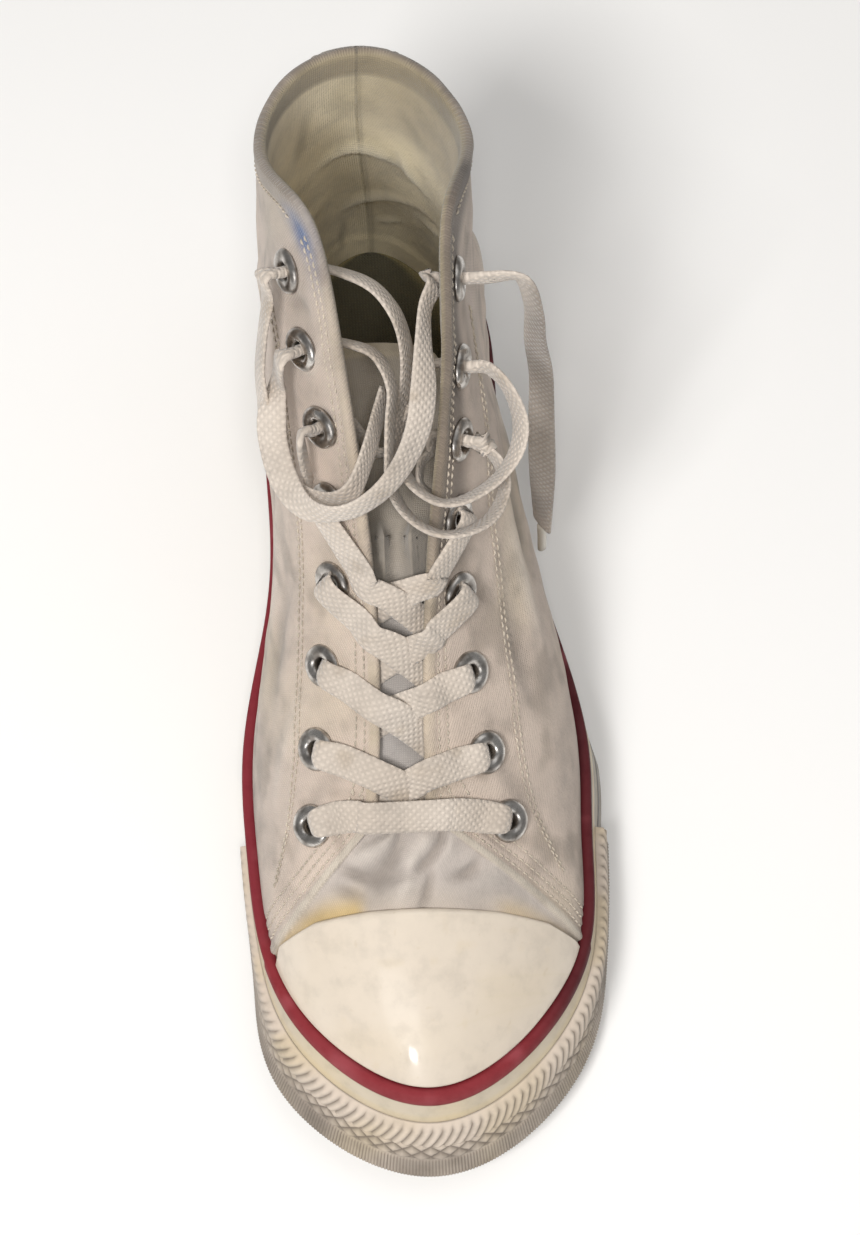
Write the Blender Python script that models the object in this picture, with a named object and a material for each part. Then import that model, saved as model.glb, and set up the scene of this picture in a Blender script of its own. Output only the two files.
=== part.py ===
"""A worn-out canvas high-top sneaker, the wearer's left, standing empty on its sole.

The toe points to -Y, the outer (lateral) side to +X, up is +Z. Tables are in millimetres.
One surface describes the upper: ribs go round the foot from the toe tip, along the lateral side
to the heel back, and home along the medial side. Each rib is a cubic curve from the sole's
feather edge up to the collar or throat edge. Every other piece is measured from that surface.
"""

import math

import bmesh
import bpy
import numpy as np
from mathutils import Matrix, Vector

MM = 0.001

# Where the middle of the finished shoe's box lies in the tables' own millimetres.
boxMiddle = (0.05, 0.09, 0.0)

# Sizes of the pieces, in millimetres.
wallThickness = 2.0
clearance = 0.3
foxingClearance = 0.6
quarterStep = 1.1
foxingThickness = 2.0
stripeStep = 0.6
ridgeStep = 0.5
bumperThickness = 2.4
outsoleThickness = 3.8
outsoleMargin = 3.8
treadEdge = 0.6
waistRise = 1.2
insoleThickness = 3.6
insoleMargin = 1.4
tongueThickness = 2.6
capThickness = 1.4
capClearance = 0.4
heelStripThickness = 1.2
heelStripHalfWidth = 11.0
eyeletOuterRadius = 5.9
eyeletHoleRadius = 2.6
eyeletBarrelRadius = 3.2
eyeletHoleInCloth = 3.7
laceWidth = 9.0
laceThickness = 1.6
cordDiameter = 3.0
stationsPerRib = 3
upperRows = 10

# The sole under each rib of the last. y, lateral and medial give its outline and lift the height of
# its tread. The upper's feather edge stands in from the outline by the insets, and stands feather
# above the tread. top is the height of the foxing above the tread.
soleColumns = ("name", "y", "lateral", "medial", "lift", "insetLateral", "insetMedial", "feather", "top")
soleRows = (
    ("toe tip", -144.0, -4.0, -4.0, 10, 13.0, 13.0, 12, 27),
    ("toe side", -120.0, 37.0, -44.5, 8, 12.0, 13.5, 12, 27),
    ("cap corner", -86.0, 50.1, -51.5, 3, 8.9, 6.5, 12, 29),
    ("ball", -54.0, 54.2, -52.5, 0, 12.2, 5.5, 12, 29),
    ("fore waist", -20.0, 52.0, -49.0, 0, 11.5, 5.5, 13, 28),
    ("waist", 13.0, 38.0, -39.5, 0, 5.5, 4.0, 14, 28),
    ("flap", 38.0, 32.0, -36.5, 0, 4.0, 4.0, 16, 28),
    ("top corner", 62.0, 29.5, -37.0, 0, 4.0, 4.0, 18, 28),
    ("collar front", 86.0, 29.5, -37.5, 0, 4.0, 4.0, 18, 29),
    ("collar side", 108.0, 29.0, -36.5, 0, 4.5, 4.5, 18, 30),
    ("heel side", 130.0, 18.5, -25.0, 0, 5.0, 5.0, 18, 31),
    ("heel back", 142.0, -3.3, -3.3, 0, 5.0, 5.0, 18, 31),
)

# The ribs over each of those places. rise and the bulges shape the lower half of a rib, shoulder
# and drop its upper half. edgeY, edgeLateral, edgeMedial and edgeZ are where it ends, at the throat
# in front and at the collar behind.
ribColumns = (
    "name", "rise", "bulgeLateral", "bulgeMedial", "edgeY", "edgeLateral", "edgeMedial", "edgeZ",
    "shoulderLateral", "shoulderMedial", "dropLateral", "dropMedial",
)
ribRows = (
    ("toe tip", 20, -5, -5, -57.0, -10.0, -10.0, 63.0, 34, 34, 4, 4),
    ("toe side", 20, -4, -3, -57.5, -6.5, -13.5, 63.5, 29, 29, 5, 5),
    ("cap corner", 24, 2, 2, -55.0, -3.4, -16.5, 66.0, 22, 22, 6, 6),
    ("ball", 28, 5, 3, -40.0, -3.0, -15.5, 76.0, 22, 22, 8, 8),
    ("fore waist", 33, 10, 9, -16.0, -2.0, -15.0, 92.0, 20, 20, 12, 12),
    ("waist", 36, 15, 10.5, 10.0, 0.5, -17.5, 119.0, 16, 19, 24, 20),
    ("flap", 38, 11.5, 9.5, 40.0, 4.0, -22.5, 151.0, 8, 19, 34, 22),
    ("top corner", 38, 6, 8, 66.0, 4.5, -29.0, 174.0, 5, 15, 44, 28),
    ("collar front", 38, 3.5, 4, 86.0, 11.0, -38.0, 165.0, 2, 3, 44, 44),
    ("collar side", 38, 2, 2, 106.0, 12.5, -38.8, 153.0, -2, -2, 44, 44),
    ("heel side", 34, 4, 4, 123.5, 3.0, -29.0, 148.0, -6, -6, 44, 44),
    ("heel back", 30, 6, 6, 130.0, -12.5, -12.5, 147.0, -8, -8, 44, 44),
)

# Eyelets: distance up the throat edge from its bottom corner, and setback from the edge.
eyeletColumns = ("row", "alongLateral", "alongMedial", "setLateral", "setMedial")
eyeletRows = (
    (1, 9.5, 9.0, 25.5, 20.5),
    (2, 24.0, 27.5, 18.5, 19.5),
    (3, 43.0, 48.0, 14.0, 17.5),
    (4, 65.0, 71.0, 11.5, 13.5),
    (5, 88.5, 95.0, 10.5, 12.0),
    (6, 111.5, 117.5, 11.0, 11.5),
    (7, 133.0, 141.5, 12.0, 15.0),
    (8, 157.5, 163.0, 14.0, 16.0),
)
throatCornerStation = 1.7

# Where the quarters' front edges and the toe cap's back edge lie, looking down.
capCornerLateral = (37.6, -83.0)
capCornerMedial = (-42.0, -80.0)
capLineX = (-42.0, -34.0, -20.0, -2.6, 15.0, 28.0, 37.6)
capLineY = (-80.0, -77.6, -77.0, -77.2, -77.8, -79.4, -83.0)
capSetback = 1.2
quarterCornerLateral = (3.0, -59.0)
quarterCornerMedial = (-18.4, -57.0)


def column(name):
    if name in soleColumns:
        return [row[soleColumns.index(name)] for row in soleRows]
    return [row[ribColumns.index(name)] for row in ribRows]


def roundTheFoot(lateral, medial=None):
    """One value a station: toe tip, lateral side, heel back, medial side."""
    first = np.asarray(lateral, float)
    second = first if medial is None else np.asarray(medial, float)
    return np.concatenate([first, second[-2:0:-1]])


stationCount = 2 * (len(ribRows) - 1)


def splineSlopes(values):
    """Second differences of the closed cubic spline through the values."""
    count = len(values)
    unit = np.eye(count)
    system = unit * 2 / 3 + (np.roll(unit, 1, 1) + np.roll(unit, -1, 1)) / 6
    return np.linalg.solve(system, np.roll(values, 1, 0) - 2 * values + np.roll(values, -1, 0))


def closedSpline(values, at):
    values = np.asarray(values, float)
    count = len(values)
    bend = splineSlopes(values)
    at = np.asarray(at, float) % count
    low = np.floor(at).astype(int) % count
    high = (low + 1) % count
    part = at - np.floor(at)
    if values.ndim > 1:
        part = part[..., None]
    straight = values[low] * (1 - part) + values[high] * part
    return straight + ((1 - part) ** 3 - (1 - part)) * bend[low] / 6 + (part**3 - part) * bend[high] / 6


outline = np.stack([roundTheFoot(column("lateral"), column("medial")), roundTheFoot(column("y"))], 1)
lift = roundTheFoot(column("lift"))
foxingTop = lift + roundTheFoot(column("top"))


def treadLevel(station):
    """Height of the tread's edge above the floor, flat where the table says 0."""
    return np.maximum(closedSpline(lift, station), 0)


def outwards(at):
    """Unit vectors square to the outline, level and pointing away from the foot."""
    step = 0.01
    along = closedSpline(outline, np.asarray(at) + step) - closedSpline(outline, np.asarray(at) - step)
    across = np.stack([along[..., 1], -along[..., 0]], -1)
    across /= np.linalg.norm(across, axis=-1, keepdims=True)
    return np.concatenate([across, np.zeros(across.shape[:-1] + (1,))], -1)


def ribCurves():
    """The four closed curves that steer the ribs: feather edge, two handles, top edge."""
    stations = np.arange(stationCount)
    away = outwards(stations)
    up = np.array([0.0, 0.0, 1.0])
    feather = lift + roundTheFoot(column("feather"))
    foot = np.concatenate([outline, feather[:, None]], 1)
    foot = foot - away * roundTheFoot(column("insetLateral"), column("insetMedial"))[:, None]
    edge = np.stack(
        [
            roundTheFoot(column("edgeLateral"), column("edgeMedial")),
            roundTheFoot(column("edgeY")),
            roundTheFoot(column("edgeZ")),
        ],
        1,
    )
    bulge = roundTheFoot(column("bulgeLateral"), column("bulgeMedial"))
    lower = foot + up * roundTheFoot(column("rise"))[:, None] + away * bulge[:, None]
    shoulder = roundTheFoot(column("shoulderLateral"), column("shoulderMedial"))
    drop = roundTheFoot(column("dropLateral"), column("dropMedial"))
    upper = edge - up * drop[:, None] + away * shoulder[:, None]
    return foot, lower, upper, edge


steering = ribCurves()


def lastSurface(station, height):
    """A point of the upper's outer face; height runs from 0 at the feather edge to 1 at the top."""
    station, height = np.broadcast_arrays(np.asarray(station, float), np.asarray(height, float))
    h = height[..., None]
    foot, lower, upper, edge = [closedSpline(curve, station) for curve in steering]
    return (1 - h) ** 3 * foot + 3 * (1 - h) ** 2 * h * lower + 3 * (1 - h) * h**2 * upper + h**3 * edge


def lastNormal(station, height):
    step = 0.004
    station, height = np.broadcast_arrays(np.asarray(station, float), np.asarray(height, float))
    below = np.clip(height - step, 0, 1)
    above = np.clip(height + step, 0, 1)
    roundFoot = lastSurface(station + step, height) - lastSurface(station - step, height)
    rising = lastSurface(station, above) - lastSurface(station, below)
    normal = np.cross(roundFoot, rising)
    return normal / np.linalg.norm(normal, axis=-1, keepdims=True)


def offsetSurface(station, height, distance):
    distance = np.asarray(distance, float)
    return lastSurface(station, height) + lastNormal(station, height) * distance[..., None]


def firstCrossing(values, wanted, samples):
    """For each row of values, where along samples it first reaches wanted, between two samples."""
    beyond = values >= wanted[:, None]
    high = np.clip(np.argmax(beyond, axis=1), 1, len(samples) - 1)
    rows = np.arange(len(values))
    before = values[rows, high - 1]
    after = values[rows, high]
    share = np.clip((wanted - before) / (after - before), 0, 1)
    return samples[high - 1] + share * (samples[high] - samples[high - 1])


heightSamples = np.linspace(0, 1, 161)


def heightAtLevel(station, level):
    """Height along each rib where it reaches a level above the floor."""
    station = np.asarray(station, float)
    points = lastSurface(station[:, None], heightSamples[None])
    return firstCrossing(points[..., 2], level, heightSamples)


def foxingHeight(station):
    return heightAtLevel(station, closedSpline(foxingTop, station))


def capHeight(station):
    """Height along each rib where it reaches the back edge of the toe cap."""
    station = np.asarray(station, float)
    points = lastSurface(station[:, None], heightSamples[None])
    beyond = points[..., 1] - np.interp(points[..., 0], capLineX, capLineY) + capSetback
    return firstCrossing(beyond, np.zeros(len(station)), heightSamples)


def quarterStation(height, side):
    """Station of the quarter's front edge at each height. side is 1 lateral, -1 medial."""
    stations = np.linspace(0.6, 3.4, 141)
    corner = capCornerLateral if side > 0 else capCornerMedial
    throat = quarterCornerLateral if side > 0 else quarterCornerMedial
    points = lastSurface(side * stations[None], np.asarray(height, float)[:, None])
    slope = (corner[1] - throat[1]) / (corner[0] - throat[0])
    beyond = points[..., 1] - (throat[1] + slope * (points[..., 0] - throat[0]))
    return firstCrossing(beyond, np.zeros(len(height)), stations)


def throatPoint(side, along, setback):
    """Station and height of a point on a flap, by its distance along and back from the edge."""
    stations = np.linspace(throatCornerStation, 7.4, 400)
    edge = lastSurface(side * stations, 1.0)
    walked = np.concatenate([[0], np.cumsum(np.linalg.norm(np.diff(edge, axis=0), axis=1))])
    station = float(np.interp(along, walked, stations))
    heights = np.linspace(1, 0.4, 240)
    rib = lastSurface(side * station, heights)
    down = np.concatenate([[0], np.cumsum(np.linalg.norm(np.diff(rib, axis=0), axis=1))])
    return side * station, float(np.interp(setback, down, heights))


# ---- scene and mesh helpers


def clearScene():
    for item in list(bpy.data.objects):
        bpy.data.objects.remove(item, do_unlink=True)


def inMetres(points):
    """Places in the tables' millimetres, moved so that the shoe's box stands over the origin."""
    return (np.asarray(points, float) - boxMiddle) * MM


def newCollection(name):
    made = bpy.data.collections.new(name)
    bpy.context.scene.collection.children.link(made)
    return made


clearScene()
shoeCollection = newCollection("worn_canvas_high_top")
cutterCollection = newCollection("cutters")


def material(name, colour, roughness, metallic=0.0):
    made = bpy.data.materials.new(name)
    made.use_nodes = True
    shader = made.node_tree.nodes["Principled BSDF"]
    shader.inputs["Base Color"].default_value = (*colour, 1.0)
    shader.inputs["Roughness"].default_value = roughness
    shader.inputs["Metallic"].default_value = metallic
    made.diffuse_color = (*colour, 1.0)
    return made


def addMesh(name, points, faces, look, collection=None):
    """A mesh object from points in millimetres. Its normals are made to face out."""
    mesh = bpy.data.meshes.new(name)
    mesh.from_pydata([tuple(p) for p in inMetres(points)], [], faces)
    work = bmesh.new()
    work.from_mesh(mesh)
    bmesh.ops.remove_doubles(work, verts=work.verts, dist=1e-6)
    bmesh.ops.recalc_face_normals(work, faces=work.faces)
    work.to_mesh(mesh)
    work.free()
    mesh.materials.append(look)
    made = bpy.data.objects.new(name, mesh)
    (collection or shoeCollection).objects.link(made)
    return made


def gridFaces(rows, columns, start=0, closedColumns=False):
    """Quads of a grid whose points are numbered along the columns of each row."""
    faces = []
    last = columns if closedColumns else columns - 1
    for r in range(rows - 1):
        for c in range(last):
            d = (c + 1) % columns
            faces.append((start + r * columns + c, start + r * columns + d,
                          start + (r + 1) * columns + d, start + (r + 1) * columns + c))
    return faces


def loftRings(rings, capFirst=False, capLast=False, joinEnds=False):
    """Closed rings joined into one skin. A cap is laid as strips from side to side of the shoe."""
    rings = [np.asarray(ring, float) for ring in rings]
    columns = len(rings[0])
    points = np.concatenate(rings)
    faces = gridFaces(len(rings), columns, closedColumns=True)
    if joinEnds:
        top = (len(rings) - 1) * columns
        for c in range(columns):
            d = (c + 1) % columns
            faces.append((top + c, top + d, d, c))
    for wanted, start in ((capFirst, 0), (capLast, (len(rings) - 1) * columns)):
        if not wanted:
            continue
        half = columns // 2
        for k in range(half):
            strip = (k, k + 1, (columns - k - 1) % columns, (columns - k) % columns)
            strip = [start + i for i in dict.fromkeys(strip)]
            if len(strip) > 2:
                faces.append(tuple(strip))
    return points, faces


def slab(outer, inner):
    """A closed sheet between two grids (rows, columns, 3) of the same shape."""
    rows, columns = outer.shape[:2]
    count = rows * columns
    points = np.concatenate([outer.reshape(-1, 3), inner.reshape(-1, 3)])
    faces = gridFaces(rows, columns)
    faces += [tuple(count + i for i in reversed(face)) for face in gridFaces(rows, columns)]
    rim = [c for c in range(columns)]
    rim += [r * columns + columns - 1 for r in range(1, rows)]
    rim += [(rows - 1) * columns + c for c in range(columns - 2, -1, -1)]
    rim += [r * columns for r in range(rows - 2, 0, -1)]
    for a, b in zip(rim, rim[1:] + rim[:1]):
        faces.append((a, count + a, count + b, b))
    return points, faces


# ---- stations round the foot

ringStations = np.arange(stationCount * stationsPerRib) / stationsPerRib
ringAway = outwards(ringStations)
ringOutline = np.concatenate([closedSpline(outline, ringStations), np.zeros((len(ringStations), 1))], 1)
ringLift = treadLevel(ringStations)
ringFeather = closedSpline(steering[0], ringStations)
ringFoxingHeight = foxingHeight(ringStations)


def shoeWaist(y):
    """1 in the arch of the waist and 0 under the heel and the ball."""
    return np.clip(1 - ((y - 34.0) / 46.0) ** 2, 0, 1) ** 2


bumperShareEnd = 3.85
bumperShareSpan = 0.6


def bumperShare(station):
    """1 where the toe bumper lies on the foxing, falling to 0 behind the ball."""
    fromToe = np.minimum(station % stationCount, (-station) % stationCount)
    return np.clip((bumperShareEnd - fromToe) / bumperShareSpan, 0, 1)


def level(ring, z):
    made = np.array(ring, float)
    made[:, 2] = z
    return made


# ---- upper

canvas = material("canvas upper", (0.62, 0.58, 0.50), 0.92)
cream = material("cream rubber", (0.76, 0.72, 0.60), 0.45)
foxingRubber = material("foxing rubber", (0.72, 0.69, 0.61), 0.55)
gum = material("outsole gum rubber", (0.42, 0.27, 0.15), 0.7)
insoleCloth = material("insole cloth", (0.20, 0.19, 0.16), 0.95)
tongueCanvas = material("tongue canvas", (0.60, 0.57, 0.52), 0.92)
metal = material("eyelet metal", (0.55, 0.55, 0.54), 0.3, 1.0)
laceCloth = material("lace cloth", (0.66, 0.61, 0.52), 0.9)
tipPlastic = material("lace tip plastic", (0.70, 0.68, 0.62), 0.4)
stripCloth = material("heel strip canvas", (0.60, 0.56, 0.48), 0.9)


def upperGrid():
    """Stations (rows, columns) of the upper, with two columns on each quarter's front edge."""
    heights = np.linspace(0, 1, upperRows)
    front = 1.75
    plain = [float(s) for s in ringStations if front + 0.2 < s < stationCount - front - 0.2]
    toe = [0.0, 0.3, 0.6, 0.9, 1.2, 1.5]
    width = 0.05
    lateralEdge = quarterStation(heights, 1)
    medialEdge = quarterStation(heights, -1)
    grid = []
    steps = []
    for edge, h in zip(zip(lateralEdge, medialEdge), heights):
        lateral, medial = edge
        row = [s / front * (lateral - width) for s in toe] + [lateral - width, lateral]
        back = stationCount / 2
        row += [lateral + (s - front) / (back - front) * (back - lateral) for s in plain if s <= back]
        row += [stationCount - medial - (stationCount - front - s) / (back - front) * (back - medial)
                for s in plain if s > back]
        row += [stationCount - medial, stationCount - medial + width]
        row += [stationCount - s / front * (medial - width) for s in reversed(toe[1:])]
        grid.append(row)
    columns = len(grid[0])
    raised = np.zeros(columns)
    raised[len(toe) + 1:columns - len(toe)] = 1.0
    return np.array(grid), np.repeat(heights[:, None], columns, 1), raised


gridStations, gridHeights, gridRaised = upperGrid()
# The quarter's step fades out under the foxing.
foxingAtGrid = foxingHeight(gridStations[0])[None]
fade = np.clip((gridHeights - foxingAtGrid) / 0.06, 0, 1)
outerUpper = offsetSurface(gridStations, gridHeights, gridRaised[None] * fade * quarterStep)
innerUpper = offsetSurface(gridStations, gridHeights, np.full(gridHeights.shape, -wallThickness))
upperPoints, upperFaces = loftRings(list(outerUpper) + list(innerUpper[::-1]), joinEnds=True)
upper = addMesh("upper", upperPoints, upperFaces, canvas)


# ---- eyelets and the holes they sit in


def eyeletSeats():
    """Centre, outward normal and name of each eyelet, on the raised quarters."""
    seats = []
    for side, word in ((1, "lateral"), (-1, "medial")):
        for row, alongLateral, alongMedial, setLateral, setMedial in eyeletRows:
            along = alongLateral if side > 0 else alongMedial
            setback = setLateral if side > 0 else setMedial
            station, height = throatPoint(side, along, setback)
            normal = lastNormal(station, height)
            centre = lastSurface(station, height) + normal * quarterStep
            seats.append((f"eyelet_{word}_{row}", centre, normal, station, height))
    return seats


def spunRing(name, profile, centre, normal, look, segments=8, collection=None):
    """A closed profile of (radius, height) points turned about the normal at a centre."""
    work = bmesh.new()
    turn = Vector((0, 0, 1)).rotation_difference(Vector(normal)).to_matrix().to_4x4()
    place = Matrix.Translation(Vector(inMetres(centre))) @ turn
    verts = [work.verts.new((r * MM, 0, z * MM)) for r, z in profile]
    edges = [work.edges.new((a, b)) for a, b in zip(verts, verts[1:] + verts[:1])]
    bmesh.ops.spin(work, geom=verts + edges, cent=(0, 0, 0), axis=(0, 0, 1),
                   angle=2 * math.pi, steps=segments, use_merge=True)
    bmesh.ops.remove_doubles(work, verts=work.verts, dist=1e-6)
    bmesh.ops.recalc_face_normals(work, faces=work.faces)
    work.transform(place)
    mesh = bpy.data.meshes.new(name)
    work.to_mesh(mesh)
    work.free()
    mesh.materials.append(look)
    made = bpy.data.objects.new(name, mesh)
    (collection or shoeCollection).objects.link(made)
    return made


eyeletProfile = (
    (eyeletHoleRadius, 0.9),
    (eyeletHoleRadius + 1.4, 1.5),
    (eyeletOuterRadius, 0.5),
    (eyeletBarrelRadius, 0.5),
    (eyeletBarrelRadius, -3.2),
    (eyeletHoleRadius, -3.2),
)


def eyeletCutter(seats):
    """One mesh of short round bars, standing square to the flaps."""
    work = bmesh.new()
    for name, centre, normal, station, height in seats:
        turn = Vector((0, 0, 1)).rotation_difference(Vector(normal)).to_matrix().to_4x4()
        middle = inMetres(np.asarray(centre) - np.asarray(normal) * (wallThickness / 2))
        bmesh.ops.create_cone(
            work, cap_ends=True, segments=8, radius1=eyeletHoleInCloth * MM,
            radius2=eyeletHoleInCloth * MM, depth=(wallThickness + 5) * MM,
            matrix=Matrix.Translation(Vector(middle)) @ turn)
    bmesh.ops.recalc_face_normals(work, faces=work.faces)
    mesh = bpy.data.meshes.new("eyelet_holes")
    work.to_mesh(mesh)
    work.free()
    made = bpy.data.objects.new("eyelet_holes", mesh)
    cutterCollection.objects.link(made)
    made.hide_render = True
    made.display_type = "WIRE"
    return made


seats = eyeletSeats()
for seatName, seatCentre, seatNormal, seatStation, seatHeight in seats:
    spunRing(seatName, eyeletProfile, seatCentre, seatNormal, metal)
cut = upper.modifiers.new("eyelet holes", "BOOLEAN")
cut.operation = "DIFFERENCE"
cut.solver = "EXACT"
cut.object = eyeletCutter(seats)


# ---- foxing with its floor, and the outsole let into it

# Steps of the foxing's side: share of the way from the tread to the top, and how far it stands out.
foxingProfile = (
    (0.06, 0.0), (0.64, 0.0), (0.67, ridgeStep), (0.73, ridgeStep),
    (0.76, 0.0), (0.81, 0.0), (0.82, stripeStep), (1.0, stripeStep),
)


def foxingSide(station, share, proud):
    """A ring of the foxing's side at a share of its height, standing proud of it."""
    away = outwards(station)
    base = np.concatenate([closedSpline(outline, station), np.zeros((len(station), 1))], 1)
    base = base - away * (bumperShare(station) * (bumperThickness + clearance))[:, None]
    base[:, 2] = treadLevel(station) + treadEdge
    top = offsetSurface(station, foxingHeight(station), np.full(len(station), clearance + quarterStep))
    top = top + away * foxingThickness
    return base + (top - base) * share + away * proud


def foxingRings():
    rings = []
    low = foxingSide(ringStations, 0.0, -1.0)
    recess = foxingSide(ringStations, 0.0, -outsoleMargin)
    recess[:, 2] = ringLift + treadEdge
    rings.append(level(recess, ringLift + outsoleThickness + clearance))
    rings.append(recess)
    rings.append(low)
    for share, proud in foxingProfile:
        rings.append(foxingSide(ringStations, share, proud))
    for share in (1.0, 0.5, 0.0):
        heights = ringFoxingHeight * share
        gap = foxingClearance + quarterStep * (share == 1.0)
        rings.append(offsetSurface(ringStations, heights, np.full(len(heights), gap)))
    floor = rings[-1].copy()
    floor[:, 2] = ringFeather[:, 2] - clearance
    rings[-1] = floor
    return rings


foxingPoints, foxingFaces = loftRings(foxingRings(), capFirst=True, capLast=True)
addMesh("foxing", foxingPoints, foxingFaces, foxingRubber)


def outsoleRings():
    edge = foxingSide(ringStations, 0.0, -(outsoleMargin + clearance))
    rise = ringLift + waistRise * shoeWaist(edge[:, 1])
    chamfer = edge - ringAway * treadEdge
    return [level(chamfer, rise), level(edge, rise + treadEdge), level(edge, ringLift + outsoleThickness)]


outsolePoints, outsoleFaces = loftRings(outsoleRings(), capFirst=True, capLast=True)
addMesh("outsole", outsolePoints, outsoleFaces, gum)


# ---- insole, lying on the foxing's floor inside the upper


def insoleRings():
    rings = []
    margin = -(wallThickness + insoleMargin)
    for rise in (0.0, insoleThickness):
        heights = heightAtLevel(ringStations, ringFeather[:, 2] + rise + 0.01)
        ring = offsetSurface(ringStations, heights, np.full(len(heights), margin))
        rings.append(level(ring, ringFeather[:, 2] + rise))
    return rings


insolePoints, insoleFaces = loftRings(insoleRings(), capFirst=True, capLast=True)
addMesh("insole", insolePoints, insoleFaces, insoleCloth)


# ---- toe cap: the upper's surface between the foxing and a line across the toes


def toeCap():
    reach = 1.8
    stations = np.linspace(-reach, reach, 23)
    low = foxingHeight(stations) + 0.012
    high = np.maximum(capHeight(stations), low + 0.02)
    rows = 6
    share = np.linspace(0, 1, rows)[:, None]
    heights = low[None] + (high - low)[None] * share
    grid = np.repeat(stations[None], rows, 0)
    offsets = np.full(heights.shape, capClearance)
    inner = offsetSurface(grid, heights, offsets)
    outer = offsetSurface(grid, heights, offsets + capThickness)
    return slab(outer, inner)


capPoints, capFaces = toeCap()
addMesh("toe_cap", capPoints, capFaces, cream)


# ---- toe bumper with its rope-like ribs

bumperReach = 3.15
ribsInBumper = 40
# Share of the foxing's height, how far the row stands out, and how much of the ribs it carries.
bumperProfile = (
    (0.07, 1.6, 0.0), (0.30, 2.0, 0.0), (0.33, 1.5, 0.0),
    (0.36, 2.1, 1.0), (0.47, 2.4, 1.0), (0.58, 2.1, 1.0), (0.61, 1.0, 0.0),
)
ribDepth = 0.35


def loftSections(sections):
    """Closed cross-sections of a bar, one after another, with a flat end on the first and last."""
    count = len(sections[0])
    points = np.concatenate(sections)
    faces = gridFaces(len(sections), count, closedColumns=True)
    last = (len(sections) - 1) * count
    faces.append(tuple(range(count)))
    faces.append(tuple(range(last + count - 1, last - 1, -1)))
    return points, faces


def toeBumper():
    columns = 2 * ribsInBumper + 1
    stations = np.linspace(-bumperReach, bumperReach, columns)
    away = outwards(stations)
    rows = []
    for number, (share, proud, ribbed) in enumerate(bumperProfile):
        wave = np.cos(math.pi * (np.arange(columns) + 0.5 * (number - 4)))
        rows.append(foxingSide(stations, share, proud + clearance) + away * (wave * ribDepth * ribbed)[:, None])
    rows.append(foxingSide(stations, bumperProfile[-1][0], clearance))
    rows.append(foxingSide(stations, bumperProfile[0][0], clearance))
    return loftSections(list(np.array(rows).transpose(1, 0, 2)))


bumperPoints, bumperFaces = toeBumper()
addMesh("toe_bumper", bumperPoints, bumperFaces, foxingRubber)


# ---- heel strip: down the back seam from the collar to the foxing


def heelStrip():
    back = stationCount / 2
    rows = 9
    low = float(foxingHeight(np.array([back]))[0]) + 0.05
    heights = np.linspace(low, 0.985, rows)
    side = np.linspace(-1, 1, 7)
    middle = lastSurface(back, heights)
    near = lastSurface(back + 0.2, heights)
    stationSpan = 0.2 * heelStripHalfWidth / np.linalg.norm(near - middle, axis=1)
    grid = back + side[None] * stationSpan[:, None]
    levels = np.repeat(heights[:, None], len(side), 1)
    gap = np.full(levels.shape, clearance + quarterStep)
    return slab(offsetSurface(grid, levels, gap + heelStripThickness), offsetSurface(grid, levels, gap))


stripPoints, stripFaces = heelStrip()
addMesh("heel_strip", stripPoints, stripFaces, stripCloth)


# ---- tongue: under both flaps and across the gap between them

tongueRoot = 1.15
tongueTop = 4.8
tongueTuck = 0.16
tongueSag = 18.0
tongueSagFrom = 3.3
tongueSagOver = 2.0
tongueCrown = 0.6
# The tongue's free end lies back in the shaft: place along the shoe, level, middle, half width
# and how far its sides drop, in millimetres.
tongueEnd = (
    (17.0, 105.0, -8.3, 13.0, 3.0),
    (27.0, 106.5, -9.0, 15.5, 2.5),
    (39.0, 108.0, -10.0, 17.5, 2.0),
    (51.0, 109.0, -11.0, 18.0, 2.0),
    (60.0, 109.5, -11.0, 17.0, 2.5),
    (64.0, 108.8, -11.0, 13.5, 3.0),
)
tongueEndShares = np.array([1.0, 0.66, 0.36, 0.18, 0.0, -0.18, -0.36, -0.66, -1.0])


def tongue():
    stations = np.linspace(tongueRoot, tongueTop, 15)
    tucked = np.linspace(1 - tongueTuck, 1.0, 3)
    across = np.linspace(0, 1, 5)[1:-1]
    under = -(wallThickness + clearance + 0.3)
    sag = tongueSag * np.clip((stations - tongueSagFrom) / tongueSagOver, 0, 1) ** 2
    top = []
    for s, low in zip(stations, sag):
        lateral = offsetSurface(np.full(3, s), tucked, np.full(3, under - low * 0.4))
        medial = offsetSurface(np.full(3, -s), tucked, np.full(3, under - low * 0.4))
        bridge = lateral[-1] + (medial[-1] - lateral[-1]) * across[:, None]
        crown = 4 * across * (1 - across)
        bridge[:, 2] += tongueCrown * (1 - low) * crown
        top.append(np.concatenate([lateral, bridge, medial[::-1]]))
    for along, level, middle, half, drop in tongueEnd:
        row = np.zeros((9, 3))
        row[:, 0] = middle + half * tongueEndShares
        row[:, 1] = along
        row[:, 2] = level - drop * tongueEndShares**2
        top.append(row)
    top = np.array(top)
    rounded = np.gradient(top, axis=1)
    along = np.gradient(top, axis=0)
    normal = np.cross(along, rounded)
    normal /= np.linalg.norm(normal, axis=-1, keepdims=True)
    if normal[..., 2].mean() < 0:
        normal = -normal
    return slab(top, top - normal * tongueThickness)


tonguePoints, tongueFaces = tongue()
addMesh("tongue", tonguePoints, tongueFaces, tongueCanvas)


# ---- lace: one straight bar in row 1 and a crossing in each of rows 2 to 5


def flapPath(side, along, setback, lifted):
    station, height = throatPoint(side, along, max(setback, 0.01))
    normal = lastNormal(station, height)
    return lastSurface(station, height) + normal * (quarterStep + lifted), normal


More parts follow.
